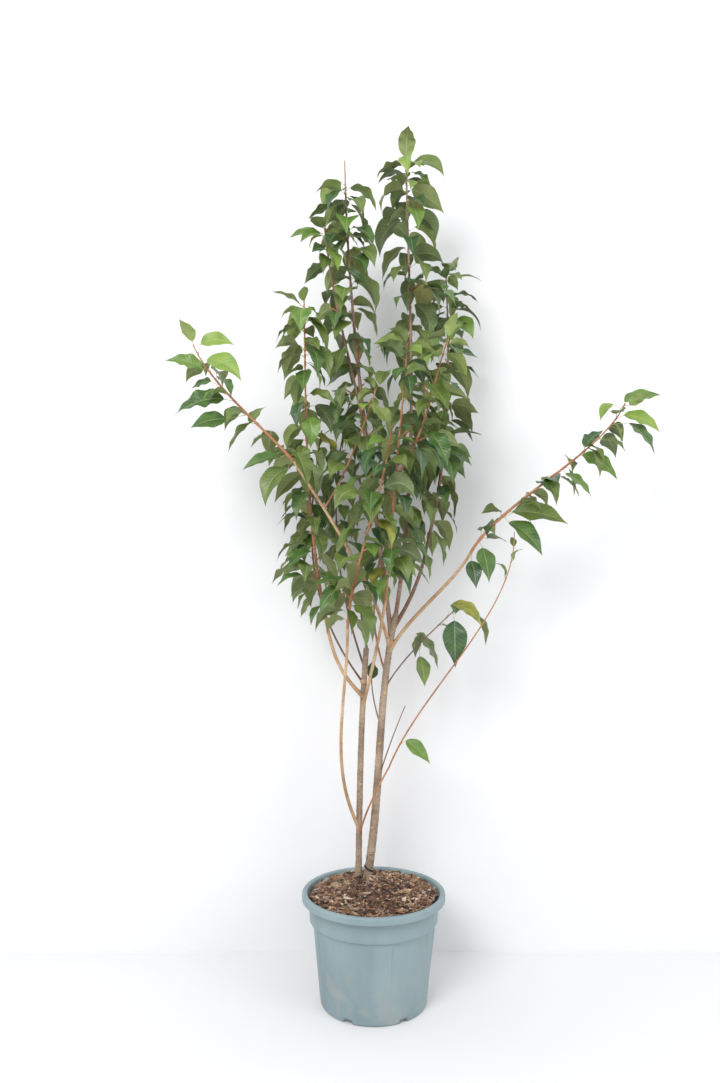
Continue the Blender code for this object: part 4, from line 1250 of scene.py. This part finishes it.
# %% [markdown]
# ## Kinds of stem
#
# Trunks, old leaders, limbs, this year's shoots, twigs and the dead stub each have a bark of their own.
# One mesh for each kind keeps the plant to a few pieces.
# %% Kinds of stem
BARK_PAINT = {
    "trunk": trunk_bark,
    "limb": limb_bark,
    "leader": leader_bark,
    "shoot": shoot_bark,
    "twig": twig_bark,
    "dead": dead_bark,
}
STEMS_OF_KIND = {
    "trunk": "trunk_left trunk_right",
    "limb": "limb_outer_left limb_inner_left limb_middle bough_left bough_right",
    "leader": "limb_upright leaves_centre fork_short_left leaves_leader leaves_upright",
    "twig": "twig_bare leaves_back_left leaves_back_middle leaves_low_twig leaves_inner_twig",
    "dead": "dead_stub",
}
KINDS = {name: kind for kind, names in STEMS_OF_KIND.items() for name in names.split()}
CONTINUED = {row.parent: name for name, row in STEMS.items() if row.foot == TIP and name != "dead_stub"}


def kind_of(name):
    return KINDS.get(name, "shoot")


print(len(CONTINUED), "stems go on in the next one")

# %% [markdown]
# ## Bark on the stems
#
# Real stems aren't even tubes: they swell at each leaf's node, have a collar where they leave their
# parent, and a bud in the angle above each leaf. A bump in the material wouldn't show along the outline,
# so the tube has a ring every few millimetres, and its radius follows all of these. Noise roughens it.
# %% Rings of the bark
FINE_SPACING = 0.0045
BLEND_LENGTH = 0.03  # over this length a stem takes on the radius of the one that goes on from it
BLUNT_TIP = 0.55
COLLAR_SWELL = 0.45
COLLAR_LENGTH = 0.022
NODE_SWELL = 0.0007
NODE_LENGTH = 0.0035
SUNK_FOOT = 0.003


def fine_rings(name, nodes):
    ends = stem_ends(name)
    stem = STEMS[name]
    length = curve_length(ends)
    count = max(8, round(length / FINE_SPACING))
    rings = []
    for step in range(count + 1):
        t = step / count
        radius = stem_radius(name, t)
        if name in CONTINUED:
            goal = STEMS[CONTINUED[name]].foot_radius
            radius += (goal - radius) * max(0.0, 1 - (1 - t) * length / BLEND_LENGTH) ** 2
        elif t == 1.0:
            radius *= BLUNT_TIP
        if stem.parent and stem.foot != TIP:
            radius *= 1 + COLLAR_SWELL * math.exp(-t * length / COLLAR_LENGTH)
        for node in nodes:
            radius += NODE_SWELL * math.exp(-(((t - node) * length / NODE_LENGTH) ** 2))
        rings.append((curve_point(ends, t), curve_direction(ends, t), radius))
    if stem.parent is None:
        rings[0] = (rings[0][0] - UP * SUNK_FOOT, UP.copy(), rings[0][2] * 1.12)
    return rings


def roughen(vertices, first, rings, sides, amount):
    for ring, (centre, _, _) in enumerate(rings):
        for side in range(sides):
            point = vertices[first + ring * sides + side]
            bump = noise.noise(point * 90) * 0.6 + noise.noise(point * 320) * 0.4
            vertices[first + ring * sides + side] = centre + (point - centre) * (1 + amount * bump)


# %% Buds and nodes
BUD = 0.0045
BUD_SHAPE = ((0.0, 0.55), (0.35, 1.0), (0.7, 0.75), (1.0, 0.1))
ON_STEM = 0.02  # a leaf whose root is further off than this grows on a spur


def add_bud(pile, root, along, outward, radius):
    axis = (along * 0.8 + outward * 0.55).normalized()
    start = root + outward * radius * 0.75
    rings = [(start + axis * BUD * far, axis, BUD * 0.27 * wide) for far, wide in BUD_SHAPE]
    add_tube(pile, rings, 6)


def node_of(ends, leaf):
    """The hundredth of the stem where this leaf sits, or None for a leaf on a spur."""
    places = [(curve_point(ends, i / 100) - leaf.root).length for i in range(101)]
    nearest = min(range(101), key=places.__getitem__)
    return nearest / 100 if places[nearest] < ON_STEM else None


# %% Make the stems
SIDES = {"trunk": 28, "limb": 18, "shoot": 12}
SPUR_SIDES = 8
TRUNK_ROUGHNESS = 0.10
SHOOT_ROUGHNESS = 0.06
stem_piles = {kind: ([], []) for kind in BARK_PAINT}
for name in STEMS:
    pile = stem_piles[kind_of(name)]
    ends = stem_ends(name)
    seats = [(leaf, node_of(ends, leaf)) for owner, some, _ in grown if owner == name for leaf, _ in some]
    seats = [(leaf, place) for leaf, place in seats if place is not None]
    sides = SIDES["trunk" if name in TRUNKS else "limb" if name in LIMBS else "shoot"]
    rings = fine_rings(name, [place for _, place in seats])
    first = len(pile[0])
    add_tube(pile, rings, sides)
    roughen(pile[0], first, rings, sides, TRUNK_ROUGHNESS if name in TRUNKS else SHOOT_ROUGHNESS)
    for leaf, place in seats:
        away = (leaf.knee - leaf.root).normalized()
        along = curve_direction(ends, place)
        outward = (away - along * away.dot(along)).normalized()
        add_bud(pile, leaf.root + along * 0.003, along, outward, stem_radius(name, place))
for _, _, spurs in grown:
    for (root, direction, radius), (end, _, small) in spurs:
        fine = [(root.lerp(end, t / 8), direction, radius + (small - radius) * t / 8) for t in range(9)]
        add_tube(stem_piles["shoot"], fine, SPUR_SIDES)
for kind, pile in stem_piles.items():
    piece = new_mesh(f"{kind}_stems", *pile, [BARK_PAINT[kind]])
    nodes = [name for name in (*TRUNKS, *LIMBS, *LEAFY_STEMS) if kind_of(name) == kind]
    dress(piece, "dead_wood" if kind == "dead" else "living_bark", *nodes)

# %% [markdown]
# ## Scars and the tie
#
# Where shoots were cut off, the trunks keep round knobs with an orange scar. They could be sculpted into
# the bark, but a short domed tube that is sunk into the trunk looks the same and takes one row of sizes:
# the height, the turn round the trunk in degrees, and the knob's own size. The tie at the foot keeps its
# CAD shape and takes a dull black material.
# %% Knobs and tie
KNOB_REACH = {"trunk_left": 0.0075, "trunk_right": 0.0105}
KNOB_SHAPE = ((0.0, 1.3), (0.35, 1.15), (0.65, 0.8), (0.72, 0.35))
KNOB_RISE = 0.35
LEFT_KNOBS = ((0.905, 250, 0.0075), (0.862, 280, 0.0065), (0.60, 300, 0.0042), (0.52, 200, 0.0038))
RIGHT_KNOBS = (
    (0.72, 260, 0.0045),
    (0.56, 320, 0.0040),
    (0.47, 240, 0.0042),
    (0.87, 285, 0.0050),
    (1.02, 300, 0.0055),
)
knob_pile = ([], [])
for name, rows in (("trunk_left", LEFT_KNOBS), ("trunk_right", RIGHT_KNOBS)):
    for height, turn, size in rows:
        centre = curve_at_height(stem_ends(name), height)
        away = aim(compass(turn, 0), KNOB_RISE)
        root = centre + away * KNOB_REACH[name]
        rings = [(root + away * size * far, away, size * wide) for far, wide in KNOB_SHAPE]
        add_tube(knob_pile, rings, 14)
knobs = new_mesh("bud_scars", *knob_pile, [limb_bark])
dress(knobs, "living_bark")
tie_paint = Paint("black tie", 0.6)
tie_paint.shader.inputs["Base Color"].default_value = (0.015, 0.015, 0.015, 1.0)
tie_materials = frame["nodes"]["foot_tie"].data.materials
tie_materials.clear()
tie_materials.append(tie_paint.material)

# %% [markdown]
# ## Studio
#
# A pale floor and a pale wall stand for a plain studio. They are marked as the stage, so they are no part
# of the plant. A wall with one material would hide the plant from a camera behind it, so its back is
# clear: the Backfacing output mixes the paint with a transparent shader.
# %% Floor and wall
STAGE_HALF = 6
WALL_TOP = 5
WALL_BEHIND = cad_high[1] + 0.02


def plane(name, corners, colour):
    paint = Paint(name, 0.9)
    paint.shader.inputs["Base Color"].default_value = (*colour, 1.0)
    paint.shader.inputs["Specular IOR Level"].default_value = 0.1
    piece = new_mesh(name, corners, [(0, 1, 2, 3)], [paint.material], smooth=False)
    piece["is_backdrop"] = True
    return paint


def clear_from_behind(paint):
    mix = paint.add("ShaderNodeMixShader", Fac=paint.add("ShaderNodeNewGeometry").outputs["Backfacing"])
    paint.put(mix, 1, paint.shader.outputs["BSDF"])
    paint.put(mix, 2, paint.add("ShaderNodeBsdfTransparent").outputs["BSDF"])
    paint.put(paint.tree.nodes["Material Output"], "Surface", mix.outputs["Shader"])


floor_corners = [(x * STAGE_HALF, y * STAGE_HALF, 0) for x, y in SQUARE]
wall_corners = [(x * STAGE_HALF, WALL_BEHIND, WALL_TOP if z > 0 else 0) for x, z in SQUARE]
plane("floor", floor_corners, (0.80, 0.80, 0.805))
clear_from_behind(plane("wall", wall_corners, (0.80, 0.805, 0.815)))
print("wall", round(WALL_BEHIND, 3), "m behind the middle of the pot")

# %% [markdown]
# ## Light
#
# A white studio has no hard shadows. One wide soft light shines from the front left, a weaker one from
# the right, and a white sky fills the rest.
# %% Light
LIT_PLACE = Vector((0.0, 0.0, 1.2))
SKY_STRENGTH = 0.86


def area_light(name, place, size, power):
    light = bpy.data.lights.new(name, "AREA")
    light.shape = "RECTANGLE"
    light.size, light.size_y = size
    light.energy = power
    lamp = bpy.data.objects.new(name, light)
    bpy.context.scene.collection.objects.link(lamp)
    lamp.location = place
    lamp.rotation_euler = (LIT_PLACE - Vector(place)).to_track_quat("-Z", "Y").to_euler()


area_light("front light", (-1.6, -3.4, 3.4), (2.0, 1.6), 112)
area_light("side light", (2.8, -2.2, 2.2), (1.6, 2.4), 30)
world = bpy.data.worlds.new("white studio")
bpy.context.scene.world = world
world.use_nodes = True
sky = world.node_tree.nodes["Background"]
sky.inputs["Color"].default_value = (0.99, 0.99, 1.0, 1.0)
sky.inputs["Strength"].default_value = SKY_STRENGTH

# %% [markdown]
# ## Camera
#
# The camera stands 2.5 m in front, at half the plant's height, and looks up a little. Its place, lens and
# tilt match the photograph's, so that the two pictures can be laid over each other.
# %% Camera
LENS = 28.06
CAMERA_PLACE = (-0.0394, -2.498, 1.222)
CAMERA_TILT = math.radians(92.42)

camera_data = bpy.data.cameras.new("camera")
camera_data.sensor_fit = "VERTICAL"
camera_data.sensor_height = 36.0
camera_data.lens = LENS
camera = bpy.data.objects.new("camera", camera_data)
bpy.context.scene.collection.objects.link(camera)
camera.location = CAMERA_PLACE
camera.rotation_euler = (CAMERA_TILT, 0.0, 0.0)
bpy.context.scene.camera = camera
bpy.context.scene.view_settings.view_transform = "Standard"
print("camera", round(-CAMERA_PLACE[1], 2), "m in front")

# %% [markdown]
# ## Finish
#
# The last cell works out the dressed plant's box and prints its height.
# %% Finish
low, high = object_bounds()
print("dressed height", round(high[2] - low[2], 3), "m")
